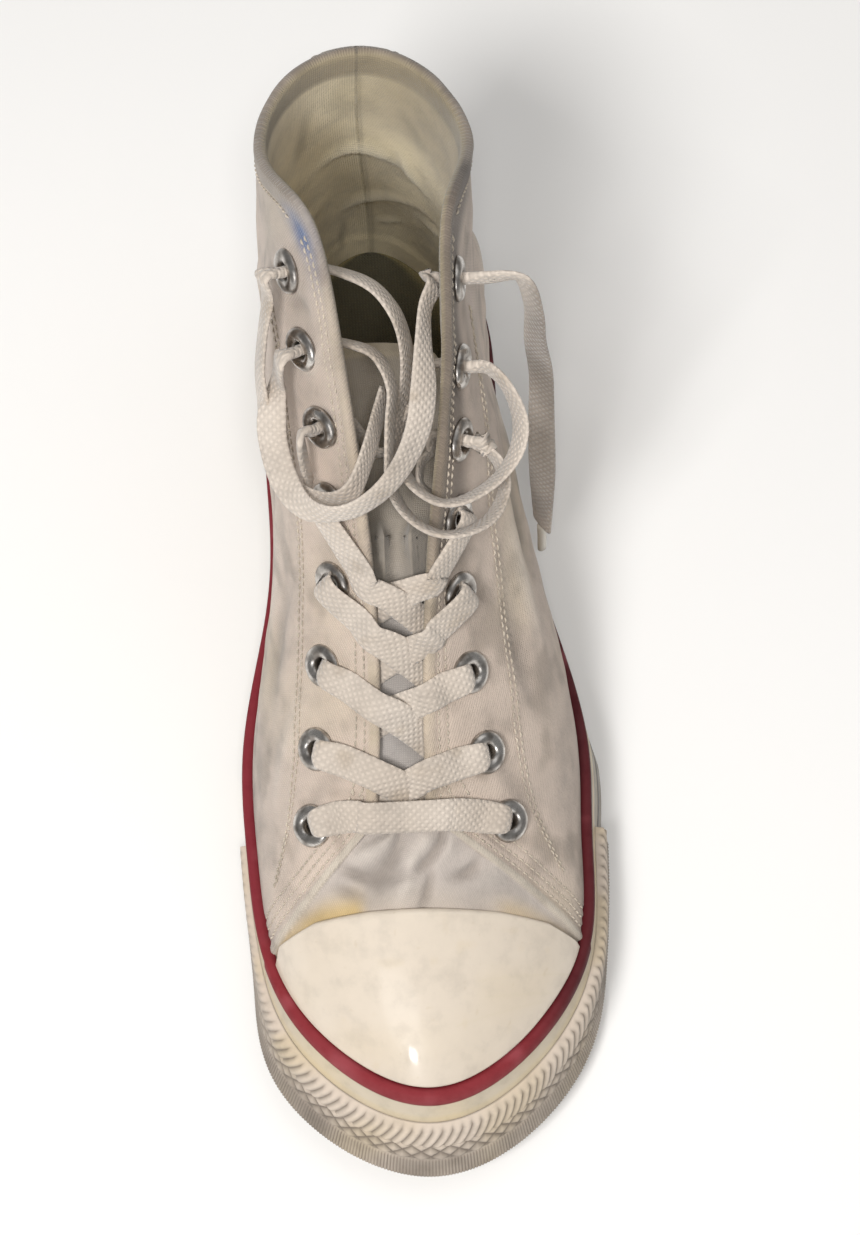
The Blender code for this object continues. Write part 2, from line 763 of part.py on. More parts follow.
def smoothLine(knots, spacing):
    """Points along a smooth curve through the knots, no further apart than spacing."""
    knots = np.asarray(knots, float)
    padded = np.concatenate([knots[:1] * 2 - knots[1:2], knots, knots[-1:] * 2 - knots[-2:-1]])
    made = [knots[0]]
    for k in range(len(knots) - 1):
        before, start, end, after = padded[k:k + 4]
        count = max(1, int(math.ceil(np.linalg.norm(end - start) / spacing)))
        for step in range(1, count + 1):
            t = step / count
            made.append(0.5 * (2 * start + (end - before) * t
                               + (2 * before - 5 * start + 4 * end - after) * t**2
                               + (3 * start - before - 3 * end + after) * t**3))
    return np.array(made)


def ribbon(knots, normals, width, thickness):
    """A flat strip along a smooth curve, lying square to the normals, on its underside."""
    line = smoothLine(knots, 6.0)
    walked = np.concatenate([[0], np.cumsum(np.linalg.norm(np.diff(knots, axis=0), axis=1))])
    place = np.concatenate([[0], np.cumsum(np.linalg.norm(np.diff(line, axis=0), axis=1))])
    place *= walked[-1] / place[-1]
    facing = np.stack([np.interp(place, walked, np.asarray(normals)[:, i]) for i in range(3)], 1)
    along = np.gradient(line, axis=0)
    along /= np.linalg.norm(along, axis=1, keepdims=True)
    facing -= along * (facing * along).sum(1, keepdims=True)
    facing /= np.linalg.norm(facing, axis=1, keepdims=True)
    across = np.cross(along, facing)
    top = np.stack([line + facing * thickness - across * width / 2,
                    line + facing * (thickness + 0.3),
                    line + facing * thickness + across * width / 2], 1)
    under = np.stack([line - across * width / 2, line, line + across * width / 2], 1)
    return slab(top, under)


laceLift = 1.2
eyeletApproach = eyeletOuterRadius + 3.4
# A strand's lower end stops this far inside the gap, this far under the flaps' outer face.
strandStart = 3.6
strandDip = -1.0
# Where the strands of a row cross the edges of the gap, as distances along the throat edge: the
# lateral strand over its own edge and at the far one, the medial strand the same, and their bows.
crossingRows = (
    (2, 14.5, 10.5, 15.5, 10.0, -1.4, -1.0),
    (3, 35.5, 30.0, 33.5, 26.0, -0.6, 0.2),
    (4, 52.5, 48.0, 53.0, 46.5, -0.4, 0.4),
    (5, 70.0, 65.0, 70.5, 64.0, -0.4, 0.4),
)
# The bar in row 1: where it crosses the edges, and its rise above the flaps at three places.
barAlong = 3.4
barRows = ((1.0, -0.6), (0.55, 0.3), (0.1, 1.9))


def eyeletRow(row, side):
    values = eyeletRows[row - 1]
    return (values[1], values[3]) if side > 0 else (values[2], values[4])


def flapKnot(row, side, edgeAlong, share, rise=0.0):
    """A point over a flap, at a share of the way from the gap's edge to where the eyelet starts."""
    along, setback = eyeletRow(row, side)
    reach = (setback - eyeletApproach) / setback * share
    return flapPath(side, edgeAlong + (along - edgeAlong) * reach, setback * reach, laceLift + rise)


def crossingStrand(row, side, nearAlong, farAlong, bow):
    """Knots and normals from the far edge of the gap, over the near flap, to its eyelet."""
    farPoint, farNormal = flapPath(-side, farAlong, 0.0, strandDip)
    nearPoint, nearNormal = flapPath(side, nearAlong, 0.0, laceLift)
    middle = (farPoint + nearPoint) / 2 + np.array([0, 0, bow])
    inwards = (nearPoint - farPoint) / np.linalg.norm(nearPoint - farPoint)
    between = farNormal + nearNormal
    between /= np.linalg.norm(between)
    knots = [farPoint + inwards * strandStart, middle, nearPoint]
    normals = [between, between, between]
    for share in (0.5, 1.0):
        point, normal = flapKnot(row, side, nearAlong, share)
        knots.append(point)
        normals.append(normal)
    return np.array(knots), np.array(normals)


def laceBar():
    lateral = [flapKnot(1, 1, barAlong, share, rise) for share, rise in barRows]
    medial = [flapKnot(1, -1, barAlong, share, rise) for share, rise in barRows]
    both = lateral + medial[::-1]
    points, faces = ribbon(np.array([item[0] for item in both]), [item[1] for item in both],
                           laceWidth - 1.0, laceThickness)
    addMesh("lace_bar_1", points, faces, laceCloth)


def laceCrossing(row, lateralNear, medialFar, medialNear, lateralFar, lateralBow, medialBow):
    knots, normals = crossingStrand(row, 1, lateralNear, medialFar, lateralBow)
    points, faces = ribbon(knots, normals, laceWidth, laceThickness)
    strand = addMesh(f"lace_cross_{row}", points, faces, laceCloth)
    knots, normals = crossingStrand(row, -1, medialNear, lateralFar, medialBow)
    points, faces = ribbon(knots, normals, laceWidth, laceThickness)
    other = addMesh(f"other_strand_{row}", points, faces, laceCloth, cutterCollection)
    other.hide_render = True
    other.display_type = "WIRE"
    join = strand.modifiers.new("other strand", "BOOLEAN")
    join.operation = "UNION"
    join.solver = "EXACT"
    join.object = other


laceBar()
for crossing in crossingRows:
    laceCrossing(*crossing)


# ---- loose lace ends: loops through the top three pairs of eyelets

# Knots of the routes, in millimetres. A name stands for a pass through that eyelet, from its
# outer side to the inside, or from the inside out where the row says so.
laceOneRoute = (
    (0.5, 16, 117), (-2.5, 19, 119), (-2, 24, 120), (1, 27, 121),
    ("eyelet_lateral_6", "out"),
    (13, 27, 124.5), (17.5, 21.5, 124), (18.5, 15, 122), (14.5, 7.5, 122), (7.5, 3, 124.5),
    (0.5, 2.5, 125.5), (-5.5, 8, 122), (-9, 15, 119), (-10.5, 20, 122), (-10.5, 25.5, 128),
    (-10, 32, 133.5), (-9.5, 37.5, 138), (-11.5, 42.5, 141.5), (-15.5, 46.5, 143),
    ("eyelet_medial_7", "out"),
    (-38, 41.5, 137), (-40, 34.5, 134), (-40, 27.5, 130), (-37.5, 18, 127), (-33, 11, 127),
    (-26.5, 8, 129), (-20, 8, 132), (-13, 11.5, 136), (-7.5, 17.5, 140), (-4, 24.5, 144.5),
    (-2.5, 33, 149), (-2, 43, 153), (-1, 51.5, 155.5), (1.5, 56.5, 157),
    ("eyelet_lateral_8", "out"),
    (23, 57, 158), (27, 54, 147), (29, 52, 131), (32, 50, 113), (33.5, 45.5, 95),
    (35, 39.5, 76), (36.5, 36, 58), (37.5, 34, 46),
)
laceTwoRoute = (
    (-31, 20, 119),
    ("eyelet_medial_6", "in"),
    (-16.5, 32, 120.5), (-13, 28.5, 118), (-7.5, 32, 117.5), (-2, 41, 125),
    ("eyelet_lateral_7", "out"),
    (19, 33.5, 144), (22, 27, 139), (21, 20.5, 134.5), (16, 14.5, 131), (8, 10, 129.5),
    (1.5, 9.5, 129), (-4, 14, 127), (-6.5, 20.5, 123), (-8.5, 27.5, 120.5), (-6.5, 36, 124),
    (-5, 42.5, 131.5), (-5.5, 48.5, 141), (-8.5, 54.5, 148.5), (-15, 60.5, 152.5),
    ("eyelet_medial_8", "out"),
    (-40, 57.5, 153), (-41.5, 51, 146), (-42.5, 43.5, 136.5), (-41, 34, 128), (-38, 23.5, 122.5),
    (-33, 16.5, 123), (-26.5, 12.5, 127), (-21, 13, 131.5), (-16.5, 22, 133), (-13, 33, 131.5),
    (-11, 39.5, 132),
)
# Distances out from an eyelet's centre along its axis that the lace passes through.
eyeletPass = (7.0, 2.3, -2.3, -7.0)


def routeKnots(route):
    places = {name: (centre, normal) for name, centre, normal, station, height in seats}
    knots = []
    for entry in route:
        if not isinstance(entry[0], str):
            knots.append(np.array(entry, float))
            continue
        centre, normal = places[entry[0]]
        passed = eyeletPass if entry[1] == "in" else eyeletPass[::-1]
        knots += [centre + normal * out for out in passed]
    return knots


def cord(name, route):
    fine = smoothLine(routeKnots(route), 0.5)
    walked = np.concatenate([[0], np.cumsum(np.linalg.norm(np.diff(fine, axis=0), axis=1))])
    steps = np.linspace(0, walked[-1], int(walked[-1] / (2.7 * cordDiameter)) + 1)
    line = np.stack([np.interp(steps, walked, fine[:, i]) for i in range(3)], 1)
    curve = bpy.data.curves.new(name, "CURVE")
    curve.dimensions = "3D"
    curve.bevel_depth = cordDiameter / 2 * MM
    curve.bevel_resolution = 2
    curve.use_fill_caps = True
    spline = curve.splines.new("POLY")
    spline.points.add(len(line) - 1)
    for point, place in zip(spline.points, line):
        point.co = (*inMetres(place), 1.0)
    curve.materials.append(laceCloth)
    made = bpy.data.objects.new(name, curve)
    shoeCollection.objects.link(made)


cord("lace_end_one", laceOneRoute)
cord("lace_end_two", laceTwoRoute)


# ---- plastic tip on the hanging lace end

tipLength = 14.0
tipRadius = 1.4


def laceTip():
    end = np.array(laceOneRoute[-1], float)
    along = end - np.array(laceOneRoute[-2], float)
    along /= np.linalg.norm(along)
    middle = end + along * (clearance + tipLength / 2)
    work = bmesh.new()
    turn = Vector((0, 0, 1)).rotation_difference(Vector(along)).to_matrix().to_4x4()
    bmesh.ops.create_cone(
        work, cap_ends=True, segments=8, radius1=tipRadius * MM, radius2=tipRadius * MM,
        depth=tipLength * MM, matrix=Matrix.Translation(Vector(inMetres(middle))) @ turn)
    mesh = bpy.data.meshes.new("lace_tip")
    work.to_mesh(mesh)
    work.free()
    mesh.materials.append(tipPlastic)
    shoeCollection.objects.link(bpy.data.objects.new("lace_tip", mesh))


laceTip()
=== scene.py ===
import math

import bpy
import numpy as np
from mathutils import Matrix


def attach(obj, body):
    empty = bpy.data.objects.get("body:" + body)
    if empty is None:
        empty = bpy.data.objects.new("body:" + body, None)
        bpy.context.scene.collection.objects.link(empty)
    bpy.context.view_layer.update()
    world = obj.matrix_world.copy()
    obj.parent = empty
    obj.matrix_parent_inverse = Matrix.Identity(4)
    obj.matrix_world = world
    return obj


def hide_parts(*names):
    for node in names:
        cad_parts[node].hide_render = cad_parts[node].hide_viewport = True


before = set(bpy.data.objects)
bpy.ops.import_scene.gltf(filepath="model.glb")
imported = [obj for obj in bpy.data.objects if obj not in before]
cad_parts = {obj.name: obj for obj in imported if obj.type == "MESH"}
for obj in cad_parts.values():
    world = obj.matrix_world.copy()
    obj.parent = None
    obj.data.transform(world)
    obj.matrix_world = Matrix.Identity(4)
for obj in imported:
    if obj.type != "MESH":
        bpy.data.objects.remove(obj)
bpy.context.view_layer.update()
mm = 0.001
boxMiddle = np.array([0.05, 0.09, 0.0])  # the tables' zero lies this far from the object's, in mm

# Camera: high over the toe, looking back and down into the shoe.
view = {"place": (-65.4, -257.2, 811.0), "down": 70.9, "turn": 3.18, "focal": 2900.0,
        "frameHeight": 1235.0, "shift": (0.1573, 0.0094)}


def placeCamera():
    data = bpy.data.cameras.new("camera")
    data.sensor_fit = "VERTICAL"
    data.sensor_height = 36.0
    data.lens = view["focal"] / view["frameHeight"] * 36.0
    data.shift_x, data.shift_y = view["shift"]
    data.clip_start = 0.01
    made = bpy.data.objects.new("camera", data)
    made.location = (np.array(view["place"]) - boxMiddle) * mm
    made.rotation_euler = (math.radians(90 - view["down"]), 0, -math.radians(view["turn"]))
    bpy.context.scene.collection.objects.link(made)
    bpy.context.scene.camera = made


placeCamera()
print("camera placed")

# Sole under each rib of the last, and the ribs over it. The rows are those of the solids.
soleColumns = ("y", "lateral", "medial", "lift", "insetLateral", "insetMedial", "feather", "top")
soleRows = {
    "toe tip": (-144.0, -4.0, -4.0, 10, 13.0, 13.0, 12, 27),
    "toe side": (-120.0, 37.0, -44.5, 8, 12.0, 13.5, 12, 27),
    "cap corner": (-86.0, 50.1, -51.5, 3, 8.9, 6.5, 12, 29),
    "ball": (-54.0, 54.2, -52.5, 0, 12.2, 5.5, 12, 29),
    "fore waist": (-20.0, 52.0, -49.0, 0, 11.5, 5.5, 13, 28),
    "waist": (13.0, 38.0, -39.5, 0, 5.5, 4.0, 14, 28),
    "flap": (38.0, 32.0, -36.5, 0, 4.0, 4.0, 16, 28),
    "top corner": (62.0, 29.5, -37.0, 0, 4.0, 4.0, 18, 28),
    "collar front": (86.0, 29.5, -37.5, 0, 4.0, 4.0, 18, 29),
    "collar side": (108.0, 29.0, -36.5, 0, 4.5, 4.5, 18, 30),
    "heel side": (130.0, 18.5, -25.0, 0, 5.0, 5.0, 18, 31),
    "heel back": (142.0, -3.3, -3.3, 0, 5.0, 5.0, 18, 31),
}
ribColumns = ("rise", "bulgeLateral", "bulgeMedial", "edgeY", "edgeLateral", "edgeMedial", "edgeZ",
              "shoulderLateral", "shoulderMedial", "dropLateral", "dropMedial")
ribRows = {
    "toe tip": (20, -5, -5, -57.0, -10.0, -10.0, 63.0, 34, 34, 4, 4),
    "toe side": (20, -4, -3, -57.5, -6.5, -13.5, 63.5, 29, 29, 5, 5),
    "cap corner": (24, 2, 2, -55.0, -3.4, -16.5, 66.0, 22, 22, 6, 6),
    "ball": (28, 5, 3, -40.0, -3.0, -15.5, 76.0, 22, 22, 8, 8),
    "fore waist": (33, 10, 9, -16.0, -2.0, -15.0, 92.0, 20, 20, 12, 12),
    "waist": (36, 15, 10.5, 10.0, 0.5, -17.5, 119.0, 16, 19, 24, 20),
    "flap": (38, 11.5, 9.5, 40.0, 4.0, -22.5, 151.0, 8, 19, 34, 22),
    "top corner": (38, 6, 8, 66.0, 4.5, -29.0, 174.0, 5, 15, 44, 28),
    "collar front": (38, 3.5, 4, 86.0, 11.0, -38.0, 165.0, 2, 3, 44, 44),
    "collar side": (38, 2, 2, 106.0, 12.5, -38.8, 153.0, -2, -2, 44, 44),
    "heel side": (34, 4, 4, 123.5, 3.0, -29.0, 148.0, -6, -6, 44, 44),
    "heel back": (30, 6, 6, 130.0, -12.5, -12.5, 147.0, -8, -8, 44, 44),
}
backStation = len(ribRows) - 1
stationCount = 2 * backStation
wall = {"thickness": 2.0, "step": 1.1, "clearance": 0.3}


def column(name):
    rows, names = (soleRows, soleColumns) if name in soleColumns else (ribRows, ribColumns)
    return np.array([values[names.index(name)] for values in rows.values()], float)


def roundTheFoot(lateral, medial=None):
    # toe tip, lateral side, heel back, then home along the medial side
    second = lateral if medial is None else medial
    return np.concatenate([lateral, second[-2:0:-1]])


def fromToe(station):
    # stations from the toe tip, by the shorter way round
    return np.minimum(station % stationCount, (-station) % stationCount)


def unit(vectors):
    # each vector over its own length
    return vectors / np.maximum(np.linalg.norm(vectors, axis=-1, keepdims=True), 1e-9)


def walkedAlong(points, axis=0):
    # distance walked from the first point to each later one, along one axis of a line or grid
    steps = np.cumsum(np.linalg.norm(np.diff(points, axis=axis), axis=-1), axis)
    return np.concatenate([np.zeros_like(steps.take([0], axis)), steps], axis)


def closedSpline(values, at):
    # natural closed cubic: straight line between neighbours plus the bend that keeps slope and
    # curvature the same on both sides of every station
    values = np.asarray(values, float)
    count = len(values)
    unit = np.eye(count)
    system = unit * 2 / 3 + (np.roll(unit, 1, 1) + np.roll(unit, -1, 1)) / 6
    bend = np.linalg.solve(system, np.roll(values, 1, 0) - 2 * values + np.roll(values, -1, 0))
    at = np.asarray(at, float) % count
    low = np.floor(at).astype(int) % count
    high = (low + 1) % count
    part = at - np.floor(at)
    part = part[..., None] if values.ndim > 1 else part
    straight = values[low] * (1 - part) + values[high] * part
    return straight + ((1 - part) ** 3 - (1 - part)) * bend[low] / 6 + (part**3 - part) * bend[high] / 6


outline = np.stack([roundTheFoot(column("lateral"), column("medial")), roundTheFoot(column("y"))], 1)
lift = roundTheFoot(column("lift"))
foxingTop = lift + roundTheFoot(column("top"))


def treadLevel(station):
    return np.maximum(closedSpline(lift, station), 0)


def outwards(at):
    # level unit vector square to the outline, away from the foot
    step = 0.01
    along = closedSpline(outline, np.asarray(at) + step) - closedSpline(outline, np.asarray(at) - step)
    across = unit(np.stack([along[..., 1], -along[..., 0]], -1))
    return np.concatenate([across, np.zeros(across.shape[:-1] + (1,))], -1)


def ribCurves():
    stations = np.arange(stationCount)
    away = outwards(stations)
    up = np.array([0.0, 0.0, 1.0])
    feather = lift + roundTheFoot(column("feather"))
    foot = np.concatenate([outline, feather[:, None]], 1)
    foot = foot - away * roundTheFoot(column("insetLateral"), column("insetMedial"))[:, None]
    edge = np.stack([roundTheFoot(column("edgeLateral"), column("edgeMedial")),
                     roundTheFoot(column("edgeY")), roundTheFoot(column("edgeZ"))], 1)
    bulge = roundTheFoot(column("bulgeLateral"), column("bulgeMedial"))
    lower = foot + up * roundTheFoot(column("rise"))[:, None] + away * bulge[:, None]
    shoulder = roundTheFoot(column("shoulderLateral"), column("shoulderMedial"))
    drop = roundTheFoot(column("dropLateral"), column("dropMedial"))
    upper = edge - up * drop[:, None] + away * shoulder[:, None]
    return foot, lower, upper, edge


steering = ribCurves()


def lastSurface(station, height):
    # cubic curve of four control points, which themselves run round the foot on closed splines
    station, height = np.broadcast_arrays(np.asarray(station, float), np.asarray(height, float))
    h = height[..., None]
    foot, lower, upper, edge = [closedSpline(curve, station) for curve in steering]
    return (1 - h) ** 3 * foot + 3 * (1 - h) ** 2 * h * lower + 3 * (1 - h) * h**2 * upper + h**3 * edge


def lastNormal(station, height):
    # square to the two ways in which the surface runs
    step = 0.004
    station, height = np.broadcast_arrays(np.asarray(station, float), np.asarray(height, float))
    roundFoot = lastSurface(station + step, height) - lastSurface(station - step, height)
    higher, lower = [lastSurface(station, np.clip(height + move, 0, 1)) for move in (step, -step)]
    return unit(np.cross(roundFoot, higher - lower))


def offsetSurface(station, height, distance):
    return lastSurface(station, height) + lastNormal(station, height) * np.asarray(distance, float)[..., None]


def firstCrossing(values, wanted, samples):
    # in each row of values, the place between two samples where wanted is first reached
    high = np.clip(np.argmax(values >= wanted[:, None], axis=1), 1, len(samples) - 1)
    rows = np.arange(len(values))
    before, after = values[rows, high - 1], values[rows, high]
    share = np.clip((wanted - before) / (after - before), 0, 1)
    return samples[high - 1] + share * (samples[high] - samples[high - 1])


heightSamples = np.linspace(0, 1, 161)


def heightAtLevel(station, level):
    return firstCrossing(lastSurface(station[:, None], heightSamples[None])[..., 2], level, heightSamples)


def foxingHeight(station):
    station = np.asarray(station, float)
    return heightAtLevel(station, closedSpline(foxingTop, station))


capEdge = {"x": (-42.0, -34.0, -20.0, -2.6, 15.0, 28.0, 37.6),
           "y": (-80.0, -77.6, -77.0, -77.2, -77.8, -79.4, -83.0), "setback": 1.2}
frontSlant = 1.1  # length on the cloth over length seen from above, at the quarter's front
quarterFront = {1: ((37.6, -83.0), (3.0, -59.0)), -1: ((-42.0, -80.0), (-18.4, -57.0))}


def capHeight(station):
    points = lastSurface(station[:, None], heightSamples[None])
    beyond = points[..., 1] - np.interp(points[..., 0], capEdge["x"], capEdge["y"]) + capEdge["setback"]
    return firstCrossing(beyond, np.zeros(len(station)), heightSamples)


def frontDistance(points, side):
    # looking down, how far behind the straight front edge of a quarter each point lies, in mm
    corner, throat = quarterFront[side]
    slope = (corner[1] - throat[1]) / (corner[0] - throat[0])
    return (points[..., 1] - throat[1] - slope * (points[..., 0] - throat[0])) / math.hypot(1, slope)


def quarterStation(height, side):
    stations = np.linspace(0.6, 3.4, 141)
    beyond = frontDistance(lastSurface(side * stations[None], height[:, None]), side)
    return firstCrossing(beyond, np.zeros(len(height)), stations)


throatStations = np.linspace(1.7, 7.4, 400)


def throatPoint(side, along, setback):
    # station and height at a distance along the throat edge and a setback down from it
    station = np.interp(along, walkedAlong(lastSurface(side * throatStations, 1.0)), throatStations)
    heights = np.linspace(1, 0.35, 260)
    down = walkedAlong(lastSurface(side * station, heights))
    return side * float(station), float(np.interp(setback, down, heights))


# Lengths of the ribs and of the steps between stations, for patterns that are given in mm.
ribSamples = lastSurface(np.arange(0, stationCount, 0.25)[:, None], np.linspace(0, 1, 60)[None])
ribLengths = np.linalg.norm(np.diff(ribSamples, axis=1), axis=-1).sum(1)


def ribLength(station):
    return np.interp(np.asarray(station) % stationCount, np.arange(0, stationCount + 0.1, 0.25),
                     np.append(ribLengths, ribLengths[0]))


def localStep(station, height):
    near = lastSurface(station + 0.05, height) - lastSurface(station - 0.05, height)
    return float(np.linalg.norm(near)) / 0.1


def ease(value, low, high):
    part = np.clip((value - low) / (high - low), 0, 1)
    return part * part * (3 - 2 * part)


def cloud(points, size, seed):
    # value noise: random numbers on the corners of cubes of this size, eased between corners
    lattice = np.random.default_rng(seed).random((24, 24, 24))
    place = np.asarray(points, float) / size + 100.0
    low = np.floor(place).astype(int)
    part = place - low
    part = part * part * (3 - 2 * part)
    total = np.zeros(place.shape[:-1])
    for corner in range(8):
        bits = np.array([corner & 1, corner >> 1 & 1, corner >> 2 & 1])
        weight = np.where(bits, part, 1 - part).prod(-1)
        index = (low + bits) % 24
        total += weight * lattice[index[..., 0], index[..., 1], index[..., 2]]
    return total


def linearColour(code):
    # sRGB hex to the linear values that shaders use
    values = np.array([int(code[i:i + 2], 16) for i in (1, 3, 5)]) / 255
    return np.where(values <= 0.04045, values / 12.92, ((values + 0.055) / 1.055) ** 2.4)


def layered(points, base, *layers):
    # a base colour on every point, then each later colour mixed in by its own share
    tone = np.zeros(points.shape) + linearColour(base)
    for code, share in layers:
        tone = tone + (linearColour(code) - tone) * np.clip(share, 0, 1)[..., None]
    return tone


def meshPiece(name, points, faces, materials, tone=None, uv=None, faceLook=None, smooth=True):
    # points in the tables' mm; faces is an (n, 4) array, or (n, 3) for triangles
    mesh = bpy.data.meshes.new(name)
    places = (np.asarray(points, float).reshape(-1, 3) - boxMiddle) * mm
    faces = np.asarray(faces, np.int32)
    count, corners = faces.shape
    mesh.vertices.add(len(places))
    mesh.vertices.foreach_set("co", places.astype(np.float32).ravel())
    mesh.loops.add(count * corners)
    mesh.loops.foreach_set("vertex_index", faces.ravel())
    mesh.polygons.add(count)
    mesh.polygons.foreach_set("loop_start", np.arange(0, count * corners, corners, dtype=np.int32))
    mesh.polygons.foreach_set("loop_total", np.full(count, corners, np.int32))
    if faceLook is not None:
        mesh.polygons.foreach_set("material_index", np.asarray(faceLook, np.int32))
    mesh.polygons.foreach_set("use_smooth", np.full(count, smooth))
    mesh.update(calc_edges=True)
    if uv is not None:
        layer = mesh.uv_layers.new(name="threadMap")
        corner = np.asarray(uv, float).reshape(-1, 2)[faces]
        span = corner[..., 0].max()
        closing = np.ptp(corner[..., 0], axis=1) > span * 0.5
        edge = np.linalg.norm(places[faces[closing, 1]] - places[faces[closing, 0]], axis=1)
        corner[closing, :, 0] += (corner[closing, :, 0] < span * 0.5) * (span + edge)[:, None]
        layer.data.foreach_set("uv", corner.astype(np.float32).ravel())
    if tone is not None:
        tone = np.asarray(tone, float).reshape(-1, 3)
        layer = mesh.attributes.new("tone", "FLOAT_COLOR", "POINT")
        tone = np.concatenate([tone, np.ones((len(tone), 1))], 1)
        layer.data.foreach_set("color", tone.astype(np.float32).ravel())
    for look in materials:
        mesh.materials.append(look)
    made = bpy.data.objects.new(name, mesh)
    bpy.context.scene.collection.objects.link(made)
    return made


def gridFaces(rows, columns, start=0, closed=False, flip=False):
    # quads between the rows of a grid whose points are numbered along the columns of each row
    r, c = np.meshgrid(np.arange(rows - 1), np.arange(columns if closed else columns - 1), indexing="ij")
    d = (c + 1) % columns
    faces = np.stack([r * columns + c, r * columns + d, (r + 1) * columns + d, (r + 1) * columns + c], -1)
    faces = faces.reshape(-1, 4) + start
    return faces[:, ::-1] if flip else faces


def footFaces(rings, count):
    # quads between rings round the foot, with strips across it over the first and the last ring
    k = np.arange(1, count // 2 - 1)
    strip = np.stack([k, k + 1, count - k - 1, count - k], 1)
    return np.concatenate([gridFaces(rings, count, closed=True), strip[:, ::-1], strip + (rings - 1) * count])


def threadMap(grid):
    # lengths walked across and up a grid, so that threads keep their real spacing
    return np.stack([walkedAlong(grid, 1), walkedAlong(grid)], -1) * mm


def fitPiece(made, slotName, *nodes):
    # rides on the shoe's one body, and stands for these solids
    if nodes:
        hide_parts(*nodes)
    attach(made, "root")


def setSockets(tree, node, **links):
    # socketName=value, or socketName=(node, output) for a link; _3 is the input numbered 3
    for name, source in links.items():
        socket = node.inputs[int(name[1:])] if name[0] == "_" else node.inputs[name.replace("_", " ")]
        if isinstance(source, tuple) and isinstance(source[0], bpy.types.Node):
            tree.links.new(source[0].outputs[source[1]], socket)
        else:
            socket.default_value = source


def addNode(tree, kind, settings=None, stops=(), **links):
    # a node with its settings, the places and tones of its ramp, and its sockets
    made = tree.nodes.new(kind)
    for name, value in (settings or {}).items():
        setattr(made, name, value)
    setSockets(tree, made, **links)
    while stops and len(made.color_ramp.elements) < len(stops):
        made.color_ramp.elements.new(0.5)
    for element, (place, tone) in zip(made.color_ramp.elements if stops else (), stops):
        element.position = place
        element.color = (*(linearColour(tone) if isinstance(tone, str) else (tone,) * 3), 1)
    return made


def newMaterial(name, **sockets):
    made = bpy.data.materials.new(name)
    made.use_nodes = True
    shader = made.node_tree.nodes["Principled BSDF"]
    setSockets(made.node_tree, shader, **sockets)
    return made, made.node_tree, shader


ramp, noise, multiply = "ShaderNodeValToRGB", "ShaderNodeTexNoise", {"data_type": "RGBA", "blend_type": "MULTIPLY"}


def wovenMaterial(name, thread, relief, fuzz, twill=False):
    # plain or twill cotton: matt and a little fuzzy, with a bump of two crossing wave sets
    made, tree, shader = newMaterial(name, Roughness=0.92, Specular_IOR_Level=0.25, Sheen_Weight=fuzz,
                                     Sheen_Roughness=0.5)
    tone = addNode(tree, "ShaderNodeAttribute", {"attribute_name": "tone"})
    uv = addNode(tree, "ShaderNodeUVMap", {"uv_map": "threadMap"})
    turned = addNode(tree, "ShaderNodeMapping", Vector=(uv, 0), Rotation=(0, 0, math.radians(45 if twill else 0)))
    # a wave texture repeats every 1/20 of its scale times tau, so this gives one wave a thread
    warp, weft = [addNode(tree, "ShaderNodeTexWave", {"wave_type": "BANDS", "bands_direction": way}, Vector=(turned, 0),
                          Scale=1 / thread * math.tau / 20, Distortion=0.6, Detail=1.0, Detail_Scale=0.5)
                  for way in "XY"]
    weave = addNode(tree, "ShaderNodeMath", {"operation": "MULTIPLY"}, _0=(warp, 1), _1=(weft, 1))
    place = addNode(tree, "ShaderNodeTexCoord")
    lint = addNode(tree, noise, Vector=(place, "Object"), Scale=900.0, Detail=3.0)
    blotch = addNode(tree, noise, Vector=(place, "Object"), Scale=75.0, Detail=5.0, Roughness=0.62)
    shade = addNode(tree, ramp, stops=((0.3, 0.76), (0.5, 0.96), (0.62, 1.02), (0.8, 1.1)), Fac=(blotch, 0))
    threads = addNode(tree, ramp, stops=((0.0, 0.86), (0.6, 1.04)), Fac=(weave, 0))
    first = addNode(tree, "ShaderNodeMix", multiply, _0=1.0, _6=(tone, 0), _7=(shade, 0))
    second = addNode(tree, "ShaderNodeMix", multiply, _0=1.0, _6=(first, 2), _7=(threads, 0))
    fine = addNode(tree, "ShaderNodeBump", Height=(lint, 0), Strength=0.5, Distance=0.0005)
    bump = addNode(tree, "ShaderNodeBump", Height=(weave, 0), Normal=(fine, 0), Strength=0.7, Distance=relief)
    setSockets(tree, shader, Base_Color=(second, 2), Normal=(bump, 0))
    return made


def rubberMaterial(name, roughness, coat, grain, relief):
    # vulcanised rubber: smooth and slightly soft in its gloss, with fine dust and rubbed patches
    made, tree, shader = newMaterial(name, Coat_Weight=coat, Coat_Roughness=0.11, IOR=1.5)
    tone = addNode(tree, "ShaderNodeAttribute", {"attribute_name": "tone"})
    place = addNode(tree, "ShaderNodeTexCoord")
    dust = addNode(tree, noise, Vector=(place, "Object"), Scale=grain, Detail=6.0, Roughness=0.6)
    shade = addNode(tree, ramp, stops=((0.25, 0.86), (0.5, 1.0), (0.75, 1.04)), Fac=(dust, 0))
    mixed = addNode(tree, "ShaderNodeMix", multiply, _0=1.0, _6=(tone, 0), _7=(shade, 0))
    gloss = ((0.2, min(roughness + 0.25, 1)), (0.6, roughness), (0.9, roughness + 0.1))
    rub = addNode(tree, ramp, stops=gloss, Fac=(dust, 0))
    bump = addNode(tree, "ShaderNodeBump", Height=(dust, 0), Strength=0.4, Distance=relief)
    setSockets(tree, shader, Base_Color=(mixed, 2), Roughness=(rub, 0), Normal=(bump, 0))
    return made


